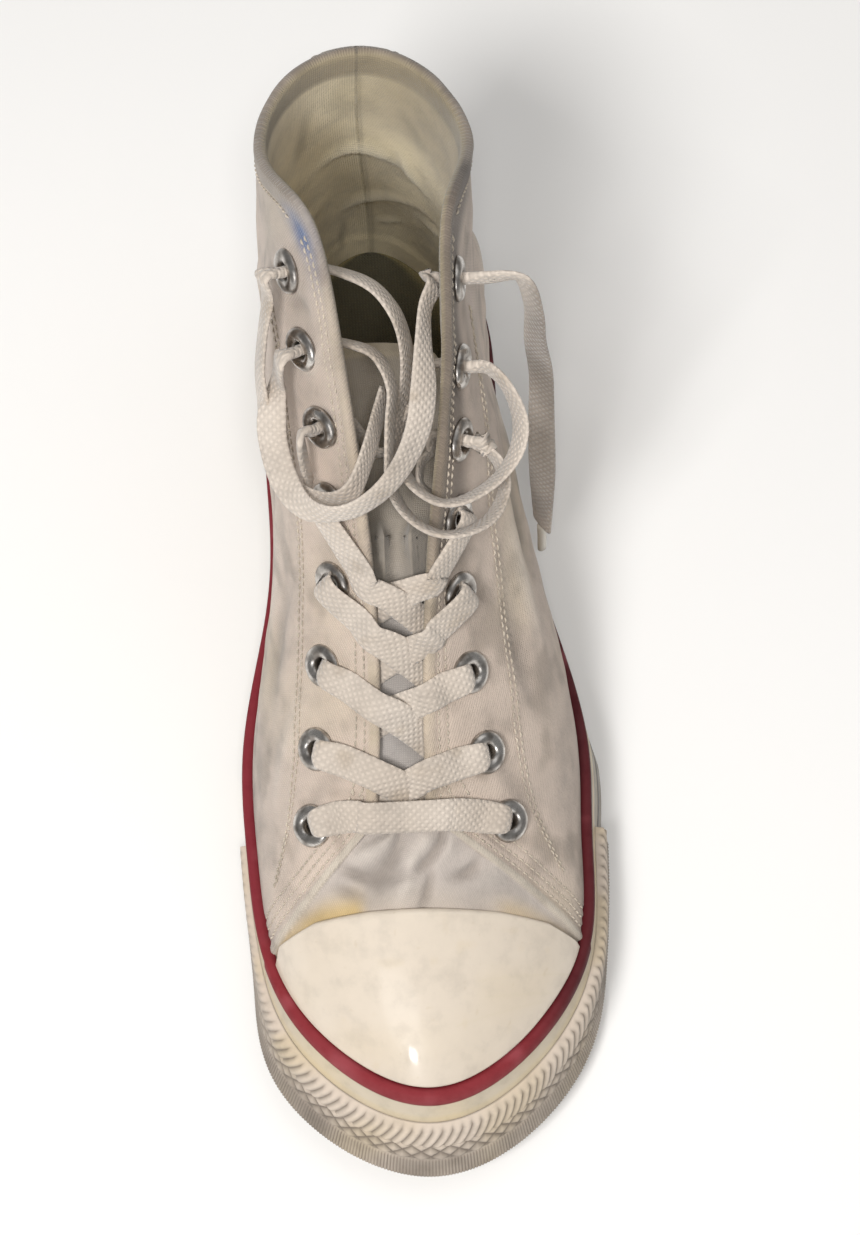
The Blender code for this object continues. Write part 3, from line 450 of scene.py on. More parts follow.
canvasLook = wovenMaterial("worn cotton duck", 0.00075, 0.00022, 0.25)
liningLook = wovenMaterial("cotton drill lining", 0.0007, 0.00015, 0.3)
vampLook = wovenMaterial("soft cotton vamp", 0.0006, 0.00012, 0.35)
tapeLook = wovenMaterial("cotton binding tape", 0.0009, 0.0003, 0.3, twill=True)
laceLook = wovenMaterial("braided cotton lace", 0.0015, 0.0004, 0.35, twill=True)
insoleLook = wovenMaterial("insole cloth", 0.0009, 0.0002, 0.3)
threadLook = wovenMaterial("sewing thread", 0.0005, 0.0001, 0.2)
capLook = rubberMaterial("polished cap rubber", 0.32, 0.45, 140.0, 0.0001)
foxingLook = rubberMaterial("moulded foxing rubber", 0.42, 0.2, 200.0, 0.00015)
stripeLook = rubberMaterial("dyed stripe rubber", 0.62, 0.0, 200.0, 0.0001)
bumperLook = rubberMaterial("moulded bumper rubber", 0.6, 0.05, 260.0, 0.0002)


def metalMaterial(name):
    # nickel plated brass eyelet: bright but hazy, with rubbed and tarnished patches
    made, tree, shader = newMaterial(name, Metallic=1.0)
    place = addNode(tree, "ShaderNodeTexCoord")
    tarnish = addNode(tree, noise, Vector=(place, "Object"), Scale=320.0, Detail=5.0)
    patches = addNode(tree, ramp, stops=((0.35, "#8d8781"), (0.6, "#d3cfca")), Fac=(tarnish, 0))
    haze = addNode(tree, ramp, stops=((0.3, 0.45), (0.6, 0.26)), Fac=(tarnish, 0))
    setSockets(tree, shader, Base_Color=(patches, 0), Roughness=(haze, 0))
    return made


eyeletLook = metalMaterial("nickel plated eyelet")


def gumMaterial(name):
    # moulded gum rubber tread: diamonds 4 mm across, dusty and matt
    made, tree, shader = newMaterial(name, Roughness=0.75)
    place = addNode(tree, "ShaderNodeTexCoord")
    turned = addNode(tree, "ShaderNodeMapping", Vector=(place, "Object"), Rotation=(0, 0, math.radians(45)))
    diamonds = addNode(tree, "ShaderNodeTexChecker", Vector=(turned, 0), Scale=250.0)
    dust = addNode(tree, noise, Vector=(place, "Object"), Scale=60.0, Detail=6.0)
    dusty = addNode(tree, ramp, stops=((0.35, "#5a4636"), (0.7, "#8d7460")), Fac=(dust, 0))
    bump = addNode(tree, "ShaderNodeBump", Height=(diamonds, 1), Strength=1.0, Distance=0.0012)
    setSockets(tree, shader, Base_Color=(dusty, 0), Normal=(bump, 0))
    return made


gumLook = gumMaterial("gum rubber tread")
print("materials made")

# Upper: creases, stains and seams are rows of values on the last's surface.

# Each pair: distances along the lateral and medial throat edge, then setbacks from them, in mm.
eyeletRows = (
    (9.5, 9.0, 25.5, 20.5), (24.0, 27.5, 18.5, 19.5), (43.0, 48.0, 14.0, 17.5), (65.0, 71.0, 11.5, 13.5),
    (88.5, 95.0, 10.5, 12.0), (111.5, 117.5, 11.0, 11.5), (133.0, 141.5, 12.0, 15.0), (157.5, 163.0, 14.0, 16.0),
)
eyelet = {"outer": 5.9, "hole": 2.0, "dome": 1.75, "barrel": 3.2, "clothHole": 3.9}


def eyeletPlace(row, side):
    lateralAlong, medialAlong, lateralSet, medialSet = eyeletRows[row - 1]
    return (lateralAlong, lateralSet) if side > 0 else (medialAlong, medialSet)


def eyeletSeat(row, side):
    # centre on the outer cloth, and the way out of it
    station, height = throatPoint(side, *eyeletPlace(row, side))
    normal = lastNormal(station, height)
    return lastSurface(station, height) + normal * wall["step"], normal


seats = {(side, row): eyeletSeat(row, side) for side in (1, -1) for row in range(1, len(eyeletRows) + 1)}

# Creases: station, height, angle from level, then length, depth (up is proud), half width and bow in mm.
vampCreases = (
    (1.05, 0.885, 12, 34, -1.9, 1.3, 2), (0.35, 0.825, 50, 16, -1.2, 1.3, 0), (1.2, 0.80, -24, 15, -1.6, 1.3, -1),
    (-0.9, 0.815, 18, 18, -1.4, 1.6, 1), (-0.9, 0.75, 22, 17, -1.2, 1.5, 1), (-0.2, 0.90, 62, 26, -1.3, 2.6, 2),
    (-0.55, 0.93, 58, 26, 1.5, 2.8, 2), (0.1, 0.86, 55, 20, 1.2, 2.2, 1), (1.5, 0.71, -40, 16, 0.8, 2.4, 0),
    (0.75, 0.95, 30, 18, 1.1, 2.2, 0), (1.45, 0.90, 10, 16, 1.0, 2.4, 0),
)
quarterCreases = (
    (-5.7, 0.88, 70, 20, -1.5, 2.0, 2), (-6.15, 0.90, 95, 18, 1.2, 2.0, -2), (-6.5, 0.86, 60, 22, -1.2, 2.4, 2),
    (-5.1, 0.86, 50, 18, -1.0, 2.0, 2), (5.9, 0.88, -70, 20, -1.2, 2.4, 2), (-1.9, 0.80, 10, 20, -0.9, 1.6, 2),
    (2.3, 0.72, 70, 34, -0.7, 3.0, 3), (3.1, 0.62, 40, 40, -0.7, 4.0, 4), (4.2, 0.55, 20, 46, -1.3, 4.5, 6),
    (4.9, 0.50, 15, 50, 1.2, 5.0, 6), (5.5, 0.46, 8, 50, -1.6, 4.5, 5), (6.4, 0.42, 0, 46, 1.3, 5.0, 3),
    (7.4, 0.36, -4, 50, -1.5, 4.5, 4), (8.6, 0.5, 0, 44, 1.2, 5.5, 3), (9.7, 0.42, 5, 40, -1.6, 4.5, 3),
    (-2.6, 0.70, -60, 34, -0.8, 3.2, -3), (-3.4, 0.60, -36, 40, 0.8, 4.0, -4), (-4.3, 0.55, -20, 46, -1.4, 4.5, -5),
    (-5.1, 0.50, -12, 50, 1.3, 5.0, -5), (-5.8, 0.45, -6, 50, -1.5, 4.5, -4), (-6.8, 0.42, 0, 50, 1.2, 5.0, -3),
    (-7.6, 0.38, 3, 46, -1.4, 4.5, -3), (-8.8, 0.5, 0, 44, 1.3, 5.5, -2), (-9.8, 0.44, -4, 40, -1.5, 4.5, -3),
)
liningCreases = (
    (10.95, 0.57, 0, 44, 2.0, 3.0, 11), (10.7, 0.36, -31, 44, 2.2, 2.6, 3), (11.45, 0.165, -85, 34, -1.4, 1.4, 0),
    (10.65, 0.22, -40, 16, 1.2, 1.6, 0), (9.95, 0.61, 66, 30, 1.5, 2.2, 0), (9.9, 0.80, 62, 26, -1.2, 2.5, 0),
    (12.1, 0.78, -76, 34, -1.2, 2.5, 0), (9.7, 0.36, -10, 24, 1.4, 2.0, 0),
)


def creaseField(station, height, creases):
    # each crease is a bell across its line, bowed, and fading to nothing at both ends
    total = np.zeros(np.broadcast(station, height).shape)
    for place, level, angle, length, depth, width, bow in creases:
        x = ((station - place + backStation) % stationCount - backStation) * localStep(place, level)
        y = (height - level) * float(ribLength(place))
        turn = math.radians(angle)
        along = x * math.cos(turn) + y * math.sin(turn)
        share = np.clip(np.abs(along) / (length / 2), 0, 1)
        across = y * math.cos(turn) - x * math.sin(turn) - bow * (1 - share**2)
        total += depth * np.exp(-(across / width) ** 2) * (1 - share**2) ** 2
    return total


# Seams follow the edges at these distances, in mm.
binding = {"throat": 3.2, "collar": 7.0, "front": 2.2, "proud": 0.45}
seamRows = {"front": (3.6, 6.2, 9.0), "throat": (4.4, 7.4), "collar": (8.0,)}


def fromTop(station, height):
    return (1 - height) * ribLength(station)


def behindFront(points, station):
    # distance on the cloth behind the front edge of the quarter on its own side
    lateral = (station % stationCount) < backStation
    return np.where(lateral, frontDistance(points, 1), frontDistance(points, -1)) * frontSlant


def collarShare(station):
    # 1 behind the top corners of the flaps, 0 along the throat
    return ease(fromToe(station), 6.9, 7.6)


def bindingWidth(collar):
    return binding["throat"] + (binding["collar"] - binding["throat"]) * collar


def above(edgeHeights, station, height):
    # distance up the rib from an edge round the foot
    return (height - np.interp(station % stationCount, edgeStations, edgeHeights)) * ribLength(station)


def upperProud(station, height):
    # height of the outer cloth over the last: quarter step, bindings, seam grooves, creases, slack
    points = lastSurface(station, height)
    behind, down = behindFront(points, station), fromTop(station, height)
    foxingEdge = above(foxingHeights, station, height)
    onQuarter = ease(behind, -0.35, 0.15)
    collar = collarShare(station)
    width = bindingWidth(collar)
    total = onQuarter * wall["step"] * ease(foxingEdge, -4.0, -1.0)
    total += onQuarter * binding["proud"] * (1 - ease(behind, binding["front"] - 0.5, binding["front"] + 0.2))
    total += binding["proud"] * (0.35 + 0.65 * collar) * (1 - ease(down, width - 0.6, width + 0.2)) * onQuarter
    for distance in seamRows["front"]:
        total -= 0.35 * np.exp(-((behind - distance) / 0.7) ** 2) * onQuarter
    for distance in seamRows["throat"]:
        total -= 0.3 * np.exp(-((down - distance) / 0.7) ** 2) * (1 - collar) * onQuarter
    total += creaseField(station, height, quarterCreases) * onQuarter * ease(foxingEdge, 2.0, 9.0)
    total += creaseField(station, height, vampCreases) * 1.3 * (1 - onQuarter)
    total += (cloud(points, 17.0, 3) - 0.5) * 1.1 * ease(foxingEdge, 1.0, 9.0) * ease(down, 0.0, 6.0)
    total += (cloud(points, 6.0, 4) - 0.5) * 0.35 * ease(foxingEdge, 1.0, 5.0)
    return total


# Heights of the foxing's top and of the cap's edge, round the foot.
edgeStations = np.arange(0, stationCount + 0.01, 0.1)
foxingHeights, capHeights = foxingHeight(edgeStations), capHeight(edgeStations)


def upperGrid(rows, toeColumns, quarterColumns):
    # every row has one column on each quarter's front edge, and columns crowd towards it
    crowd = 1.12
    heights = 1 - (1 - np.linspace(0, 1, rows)) ** crowd
    lateral = quarterStation(heights, 1)[:, None]
    medial = quarterStation(heights, -1)[:, None]
    toe = np.linspace(0, 1, toeColumns) ** 0.8
    quarter = np.linspace(-1, 1, quarterColumns)
    quarter = np.sign(quarter) * (1 - (1 - np.abs(quarter)) ** crowd)
    first = toe[None, :-1] * lateral
    back = backStation + quarter * np.where(quarter < 0, backStation - lateral, backStation - medial)
    last = stationCount - toe[None, -2:0:-1] * medial
    # the columns start and end at the heel, under the strip
    station = np.roll(np.concatenate([first, back, last], 1), 1 - toeColumns - quarterColumns // 2, axis=1)
    return station, np.repeat(heights[:, None], station.shape[1], 1)


def canvasTone(points, station, height):
    # the vamp's grey and the quarter's beige, then greying, bindings, stains and grime, with painted shade in creases,
    # painted highlight on fold ridges, and painted shade on the lateral flap and the collar binding
    behind, down = behindFront(points, station), fromTop(station, height)
    onQuarter = ease(behind, -0.3, 0.1)
    nearCap = np.exp(-(np.maximum(above(capHeights, station, height), 0) / 5.5) ** 2)
    nearCap = (1 - onQuarter) * nearCap * (0.5 + 0.6 * cloud(points, 7.0, 13))
    sides = 0.15 + 0.85 * ease(-points[..., 0], 19, 24) + 0.5 * ease(points[..., 0], 12, 19)
    collar = collarShare(station)
    width = bindingWidth(collar)
    bound = 1 - ease(down, width - 0.4, width + 0.2)
    rim = 1 - ease(down, 0, 1)
    front = 1 - ease(behind, binding["front"] - 0.3, binding["front"] + 0.2)
    foxingLevel = np.interp(station % stationCount, edgeStations, closedSpline(foxingTop, edgeStations))
    overFoxing = np.maximum(points[..., 2] - foxingLevel, 0)
    folds = creaseField(station, height, quarterCreases) * onQuarter
    folds = folds + creaseField(station, height, vampCreases) * (1 - onQuarter)
    # painted shade on the outer face of the lateral flap, behind the laces
    paintedFlapShade = onQuarter * ease(station, 4.3, 5.0) * (1 - ease(station, 7.8, 8.2)) * (1 - ease(down, 12, 24))
    grime = ease(cloud(points, 12.0, 14) * 0.6 + cloud(points, 4.0, 15) * 0.4, 0.55, 0.8)
    blue = np.exp(-(((station - (stationCount - 7.0)) / 0.35) ** 2 + ((down - 5.0) / 5.0) ** 2))
    return layered(
        points, "#c3b8af", ("#dcc9b8", onQuarter),
        ("#c8b8ab", onQuarter * cloud(points, 40.0, 11) * 0.8),
        ("#d0c1a2", onQuarter * ease(cloud(points, 26.0, 12), 0.5, 0.85) * 0.4),
        ("#cbae74", 0.85 * np.clip(nearCap * sides, 0, 1)),
        ("#c3b49b", bound * onQuarter * (1 - collar) * (0.2 + 0.6 * cloud(points, 4.0, 18))),
        # collar binding: its own darker grey, deepened by painted shade towards the rim
        ("#675d51", bound * collar * (0.6 + 0.4 * cloud(points, 6.0, 19)) * (0.8 + 0.2 * rim)),
        ("#cfc3b3", onQuarter * front),
        ("#a49a90", onQuarter * ease(points[..., 2], 120, 165) * 0.4),
        ("#8f8577", np.exp(-overFoxing / 5.0) * 0.5),
        # painted shade in the creases and painted highlight on the fold ridges
        ("#857a70", np.clip(-folds, 0, 1.2) * 0.42), ("#e0d5c9", np.clip(folds, 0, 1.2) * 0.4),
        # painted shade on the lateral flap's outer face
        ("#5c5249", paintedFlapShade * (station < backStation) * 0.75),
        ("#8f8172", grime * 0.5 * onQuarter), ("#6f7c9b", blue * (0.4 + cloud(points, 5.0, 16))))


def liningTone(points, station, height):
    # cream cotton, lit low down, with its heel seam, a shaded side, painted shade in its creases and painted highlight
    # on their ridges, and a darker collar band
    seam = np.exp(-(((station % stationCount) - backStation + 0.05) * localStep(backStation, 0.6) / 0.8) ** 2)
    litSide = ease(station, 7.0, 8.2) * (1 - ease(station, 10.0, 11.6)) * ease(points[..., 2], 100, 125)
    folds = creaseField(station, height, liningCreases)
    return layered(
        points, "#e2d2b1", ("#ecdfc2", cloud(points, 22.0, 21)),
        ("#f7e8c4", (1 - ease(points[..., 2], 95, 140)) * 0.95),
        ("#b9a97d", ease(cloud(points, 15.0, 22), 0.5, 0.9) * 0.4), ("#9c8f70", seam * 0.5),
        # painted shade on the side the lamps light; painted shade in creases and painted highlight on fold ridges
        ("#b5a586", litSide * 0.75), ("#a3967a", np.clip(-folds, 0, 1) * 0.5),
        ("#f8f1df", np.clip(folds, 0, 1.5) * 0.3), ("#a1947c", 1 - ease(fromTop(station, height), 7.0, 8.0)))


def cutCells(points, faces):
    # True for cells within the cloth hole of an eyelet, measured from its axis
    centres = points[faces].mean(1)
    inside = np.zeros(len(faces), bool)
    for centre, normal in seats.values():
        along = (centres - centre) @ normal
        away = np.linalg.norm(centres - centre - along[:, None] * normal, axis=1)
        inside |= (away < eyelet["clothHole"] * 0.8) & (np.abs(along) < 6)
    return inside


def rimFaces(kept, count, borders):
    # the wall of each hole: every edge of a kept outer cell with no kept neighbour, carried inwards
    edges = np.concatenate([kept[:, [0, 1]], kept[:, [1, 2]], kept[:, [2, 3]], kept[:, [3, 0]]])
    codes = edges[:, 0].astype(np.int64) * count + edges[:, 1]
    back = edges[:, 1].astype(np.int64) * count + edges[:, 0]
    lone = edges[~np.isin(codes, back)]
    for border in borders:
        lone = lone[~np.isin(lone, border).all(1)]
    return np.stack([lone[:, 1], lone[:, 0], lone[:, 0] + count, lone[:, 1] + count], 1)


upperSize = {"rows": 92, "toe": 56, "quarter": 430}


def makeUpper():
    # the last's surface moved out to the cloth and in to the lining, joined at lip, foot and holes
    station, height = upperGrid(upperSize["rows"], upperSize["toe"], upperSize["quarter"])
    rows, columns = station.shape
    count = rows * columns
    base, normal = lastSurface(station, height), lastNormal(station, height)
    down = fromTop(station, height)
    proud = upperProud(station, height)
    folds = creaseField(station, height, liningCreases) + (cloud(base, 14.0, 8) - 0.5) * 1.2
    folds = np.maximum(folds, -0.3) * ease(down, 5.0, 14.0)
    follow = np.minimum(proud - wall["step"], 0.0) * 0.7
    lipRound = 0.45 * np.exp(-down / 0.9)
    outer = base + normal * (proud - lipRound)[..., None]
    inner = base - normal * (wall["thickness"] + folds - follow - lipRound)[..., None]
    lip = (outer[-1] + inner[-1]) / 2 + unit(base[-1] - base[-2]) * 0.7
    points = np.concatenate([outer.reshape(-1, 3), inner.reshape(-1, 3), lip])
    outerFaces = gridFaces(rows, columns, closed=True)
    kept = outerFaces[~cutCells(points, outerFaces)]
    low = np.arange(columns)
    top, ring = low + (rows - 1) * columns, low + 2 * count
    nextLow, nextTop, nextRing = [np.roll(line, -1) for line in (low, top, ring)]
    faces = np.concatenate([
        kept, kept[:, ::-1] + count, np.stack([top, nextTop, nextRing, ring], 1),
        np.stack([ring, nextRing, nextTop + count, top + count], 1),
        np.stack([nextLow, low, low + count, nextLow + count], 1), rimFaces(kept, count, (low, top))])
    tone = np.concatenate([canvasTone(outer, station, height).reshape(-1, 3),
                           liningTone(inner, station, height).reshape(-1, 3),
                           canvasTone(outer[-1:], station[-1:], height[-1:]).reshape(-1, 3)])
    uv = threadMap(base)
    uv = np.concatenate([uv.reshape(-1, 2), uv.reshape(-1, 2), uv[-1]])
    onVamp = (behindFront(base, station) < 0).reshape(-1)
    look = np.zeros(len(faces), int)
    look[:len(kept)] = np.where(onVamp[kept[:, 0]] & onVamp[kept[:, 2]], 2, 0)
    look[len(kept):2 * len(kept)] = 1
    made = meshPiece("upperShell", points, faces, [canvasLook, liningLook, vampLook], tone, uv, look)
    fitPiece(made, "canvas_upper", "upper")
    print("upper made", len(faces), "faces")


makeUpper()


capShape = {
    "reach": 1.83, "gap": 0.4, "thickness": 1.4, "edgeRound": 1.2,
    # scratches: start, end and width, seen from above
    "deepScratches": (((19.0, -118.0), (23.5, -112.0), 0.55), ((20.0, -121.5), (21.5, -117.0), 0.4),
                      ((8.0, -128.0), (12.5, -121.0), 0.3)),
    "fineScratches": (((8.0, -97.0), (36.0, -93.0), 0.25), ((10.0, -101.0), (34.0, -98.0), 0.25),
                      ((2.0, -108.0), (26.0, -101.0), 0.25)),
}


def scratch(points, start, end, width):
    # 1 on a straight scratch between two places, seen from above, fading over its width
    start, end = np.array(start, float), np.array(end, float)
    line = end - start
    flat = points[..., :2] - start
    share = np.clip((flat @ line) / (line @ line), 0, 1)
    away = np.linalg.norm(flat - share[..., None] * line, axis=-1)
    return np.exp(-(away / width) ** 2)


def slabPiece(name, outer, inner, look, toneOf, node, slotName, lip=0.5):
    # a closed sheet between an outer and an inner grid, with a rounded rim row between them
    rows, columns = outer.shape[:2]
    count = rows * columns
    rim = np.concatenate([np.arange(columns), np.arange(1, rows) * columns + columns - 1,
                          (rows - 1) * columns + np.arange(columns - 2, -1, -1),
                          np.arange(rows - 2, 0, -1) * columns])
    r, c = np.divmod(rim, columns)
    nearer = np.clip(r, 1, rows - 2) * columns + np.clip(c, 1, columns - 2)
    flatOuter, flatInner = outer.reshape(-1, 3), inner.reshape(-1, 3)
    middle = (flatOuter[rim] + flatInner[rim]) / 2 + unit(flatOuter[rim] - flatOuter[nearer]) * lip
    points = np.concatenate([flatOuter, flatInner, middle])
    k = np.arange(len(rim))
    n = np.roll(k, -1)
    faces = np.concatenate([
        gridFaces(rows, columns), gridFaces(rows, columns, count, flip=True),
        np.stack([rim[n], rim[k], 2 * count + k, 2 * count + n], 1),
        np.stack([2 * count + n, 2 * count + k, count + rim[k], count + rim[n]], 1)])
    flat = threadMap(outer).reshape(-1, 2)
    made = meshPiece(name, points, faces, [look], toneOf(points), np.concatenate([flat, flat, flat[rim]]))
    fitPiece(made, slotName, node)
    print(name, "made")


def makeToeCap():
    # the last's surface between the foxing and the cap's edge, rounded off at that edge
    stations = np.linspace(-capShape["reach"], capShape["reach"], 240)
    low = foxingHeight(stations) + 0.004
    high = np.maximum(capHeight(stations), low + 0.012)
    heights = low + (high - low) * np.linspace(0, 1, 90)[:, None]
    grid = np.repeat(stations[None], 90, 0)
    toEdge = (high - heights) * ribLength(grid)
    soft = capShape["edgeRound"] * (1 - np.sqrt(np.clip(1 - (1 - np.clip(toEdge / 1.4, 0, 1)) ** 2, 0, 1)))
    dents = (cloud(lastSurface(grid, heights), 11.0, 35) - 0.5) * 0.35 * ease(toEdge, 0, 6)
    outer = offsetSurface(grid, heights, capShape["gap"] + capShape["thickness"] - soft * 0.8 + dents)
    inner = offsetSurface(grid, heights, np.full(heights.shape, capShape["gap"] - 0.2))

    def toneOf(points):
        return layered(
            points, "#d5c8b7", ("#d2c1a6", ease(cloud(points, 14.0, 31), 0.45, 0.95) * 0.35),
            ("#c9b48c", ease(cloud(points, 4.0, 32), 0.78, 0.98) * 0.15),
            ("#bda985", ease(cloud(points, 1.5, 33), 0.88, 0.98) * 0.25),
            *[("#6f6455", scratch(points, *mark) * 0.8) for mark in capShape["deepScratches"]],
            *[("#cfc2a8", scratch(points, *mark) * 0.3) for mark in capShape["fineScratches"]])

    slabPiece("toeCapShell", outer, inner, capLook, toneOf, "toe_cap", "cream_rubber")


makeToeCap()

foxing = {"thickness": 2.0, "gap": 0.6, "outsoleMargin": 3.8, "outsole": 3.8, "lift": 0.6}
bumper = {"reach": 3.15, "thickness": 2.4, "height": 27.0, "ropePitch": 3.2, "diamondPitch": 5.7, "finePitch": 0.95,
          "rimHollow": 0.49476}


def bumperShare(station):
    # 1 where the side is set back for the bumper, easing out just past it
    return np.clip((3.85 - fromToe(station)) / 0.6, 0, 1)


def foxingSide(station, share, proud):
    # a ring of the foxing's side: a straight wall from the tread's edge to the top, standing proud
    away = outwards(station)
    base = np.concatenate([closedSpline(outline, station), np.zeros(station.shape + (1,))], -1)
    base = base - away * (bumperShare(station) * (bumper["thickness"] + wall["clearance"]))[..., None]
    base[..., 2] = treadLevel(station) + foxing["lift"]
    flat = station.reshape(-1)
    top = offsetSurface(flat, foxingHeight(flat), np.full(len(flat), wall["clearance"] + wall["step"]))
    top = top.reshape(base.shape) + away * foxing["thickness"]
    return base + (top - base) * np.asarray(share)[..., None] + away * np.asarray(proud)[..., None]


# Share of the foxing's height, how far it stands out, and which colour band it is in.
foxingProfile = (
    (0.00, -1.0, 0), (0.03, -0.2, 0), (0.06, 0.0, 0), (0.26, 0.0, 0), (0.265, 0.12, 2), (0.345, 0.12, 2),
    (0.35, 0.0, 0), (0.66, 0.0, 0), (0.668, 0.25, 1), (0.68, 0.4, 1), (0.70, 0.4, 1), (0.712, 0.25, 1),
    (0.745, 0.0, 0), (0.855, 0.0, 0), (0.862, 0.1, 3), (0.885, 0.5, 3), (0.915, 0.7, 3), (0.95, 0.7, 3),
    (0.985, 0.4, 3), (1.0, -0.1, 3),
)


def makeFoxing():
    # rings of the profile, from the recess for the tread, over the top and down to the floor
    stations = np.arange(0, stationCount, 0.02)
    count = len(stations)
    toeward, lateral = fromToe(stations), stations < backStation
    tread = treadLevel(stations)
    atCap = 1 - ease(toeward, 1.86, 1.9)
    pastBumper = ease(toeward, bumper["reach"] - 0.1, bumper["reach"])
    recess = foxingSide(stations, np.zeros(count), np.full(count, -foxing["outsoleMargin"]))
    recess[:, 2] = tread + foxing["lift"]
    under = recess.copy()
    under[:, 2] = tread + foxing["outsole"] + wall["clearance"]
    rings, bands = [under, recess], [0, 0]
    for share, proud, band in foxingProfile:
        place, swell = np.full(count, share), np.full(count, proud)
        if band == 3:
            place, swell = 1 - (1 - share) * (0.5 + 0.43 * atCap), proud * (1 + 0.25 * atCap)
        if band == 2:
            swell = swell * pastBumper
        rings.append(foxingSide(stations, place, swell))
        bands.append(band)
    heights = foxingHeight(stations)
    rings.append(offsetSurface(stations, heights, np.full(count, wall["step"] - 0.35)))
    rings.append(offsetSurface(stations, heights * 0.6, np.full(count, 0.1)))
    floor = offsetSurface(stations, heights * 0.0, np.full(count, foxing["gap"]))
    floor[:, 2] = closedSpline(steering[0], stations)[:, 2] - wall["clearance"]
    rings.append(floor)
    bands = np.array(bands + [3, 0, 0])
    points = np.array(rings)
    faces = footFaces(len(rings), count)
    band = bands[:, None] + np.zeros((1, count))
    low = 1 - ease(points[..., 2] - tread, 4, 16)
    tone = layered(
        points, "#c5b8a3", ("#cdbb9a", ease(cloud(points, 16.0, 41), 0.4, 0.9) * 0.5),
        ("#cbb070", (band == 1) * 0.2), ("#7d7263", low * (0.35 + 0.6 * cloud(points, 7.0, 42)) * 0.8),
        # painted shade on the lateral foxing wall behind the bumper
        ("#7f776b", ease(toeward, 2.0, 3.2) * lateral * (band == 0) * 0.7),
        ("#26211f", (band == 2) * pastBumper * 0.95))
    red = layered(
        points, "#82292f", ("#7a2730", ease(toeward, 1.7, 2.6) * ~lateral * 0.8),
        # painted shade on the lateral side of the red stripe, nearly black far back
        ("#2f0f12", ease(toeward, 4.6, 5.6) * lateral * 0.9), ("#481117", ease(toeward, 0.5, 1.5) * lateral * 0.9),
        ("#ab5a61", ease(cloud(points, 6.0, 43), 0.65, 0.95) * 0.3))
    tone = np.where((band == 3)[..., None], red, tone)
    look = np.zeros(len(faces), int)
    look[:(len(rings) - 1) * count] = np.repeat((bands[:-1] == 3) & (bands[1:] == 3), count)
    made = meshPiece("foxingBand", points, faces, [foxingLook, stripeLook], tone, np.zeros((points.size // 3, 2)), look)
    fitPiece(made, "foxing_rubber", "foxing")
    print("foxing made", len(faces), "faces")


makeFoxing()


def makeBumper():
    # rope ribs above, diamonds below and fine ribs at the foot, as waves of the distance walked
    rows = 58
    stations = np.linspace(-bumper["reach"], bumper["reach"], 1300)
    s, h = np.meshgrid(walkedAlong(closedSpline(outline, stations)), np.linspace(0.04, 0.665, rows))
    up = h * bumper["height"]

    def wave(run, pitch, power):
        return np.abs(np.cos(math.pi * run / bumper[pitch])) ** power

    top = np.clip((h - 0.46) / 0.195, 0, 1)
    rope = np.sqrt(np.clip(1 - (2 * top - 1) ** 2, 0, 1))
    ropeWave = wave(s - up * 0.75, "ropePitch", 0.7)
    ropeBand = ease(h, 0.455, 0.475) * (1 - ease(h, 0.64, 0.66))
    diamondBand = ease(h, 0.27, 0.29) * (1 - ease(h, 0.445, 0.46))
    diamonds = np.minimum(wave(s + up * 1.7, "diamondPitch", 1), wave(s - up * 1.7, "diamondPitch", 1)) ** 0.7
    fineBand = 1 - ease(h, 0.25, 0.27)
    fine = wave(s, "finePitch", 0.8)
    proud = 1.45 + ropeBand * (0.1 + rope * 0.85 + ropeWave * 0.65)
    proud = proud + diamondBand * diamonds * 0.75 + fineBand * (0.1 + fine * 0.35)
    worn = ease(-stations[None], 1.1, 1.9) * 0.7 + np.zeros(h.shape)
    proud = proud * (1 - worn) + 1.7 * worn
    proud = proud * ease(h, 0.035, 0.06) * (1 - 0.7 * ease(h, 0.645, 0.665))
    grid = np.repeat(stations[None], rows, 0)
    outer = foxingSide(grid, h, proud + wall["clearance"])
    inner = foxingSide(grid, h, np.full(h.shape, 0.1))
    hollow = ropeBand * (1 - ropeWave) + diamondBand * (1 - diamonds) * 1.1 + fineBand * (1 - fine)
    relief = np.stack([(1 - 0.8 * worn) * hollow, h], -1).reshape(-1, 2)

    def toneOf(points):
        rim = np.full((len(points) - 2 * len(relief), 2), (bumper["rimHollow"], 0.3))
        groove, level = np.concatenate([relief, relief, rim]).T
        dirt = (1 - ease(level, 0.2, 0.5)) * (0.35 + 0.75 * cloud(points, 9.0, 52))
        side = ease(np.abs(points[:, 0] + 4), 20, 45) * cloud(points, 18.0, 53)
        return layered(
            points, "#cfc0b0", ("#c8b591", ease(cloud(points, 12.0, 51), 0.45, 0.9) * 0.5),
            ("#5d5247", groove * 0.85), ("#6b6157", dirt * 0.75),
            ("#8f867c", side * 0.55 * (1 - ease(level, 0.5, 0.66))))

    slabPiece("toeBumperStrip", outer, inner, bumperLook, toneOf, "toe_bumper", "foxing_rubber", lip=0.2)


makeBumper()


def smoothLine(knots, spacing):
    # smooth curve through the knots: each span bends by its neighbours' chords
    knots = np.asarray(knots, float)
    padded = np.concatenate([knots[:1] * 2 - knots[1:2], knots, knots[-1:] * 2 - knots[-2:-1]])
    pieces = []
    for k in range(len(knots) - 1):
        a, b, c, d = padded[k:k + 4]
        count = max(2, int(math.ceil(np.linalg.norm((c - b)[:3]) / spacing)))
        t = (np.arange(count) / count)[:, None]
        pieces.append(0.5 * (2 * b + (c - a) * t + (2 * a - 5 * b + 4 * c - d) * t**2 + (3 * b - a - 3 * c + d) * t**3))
    return np.concatenate(pieces + [knots[-1:]])


insole = {"thickness": 3.6, "margin": 1.4}


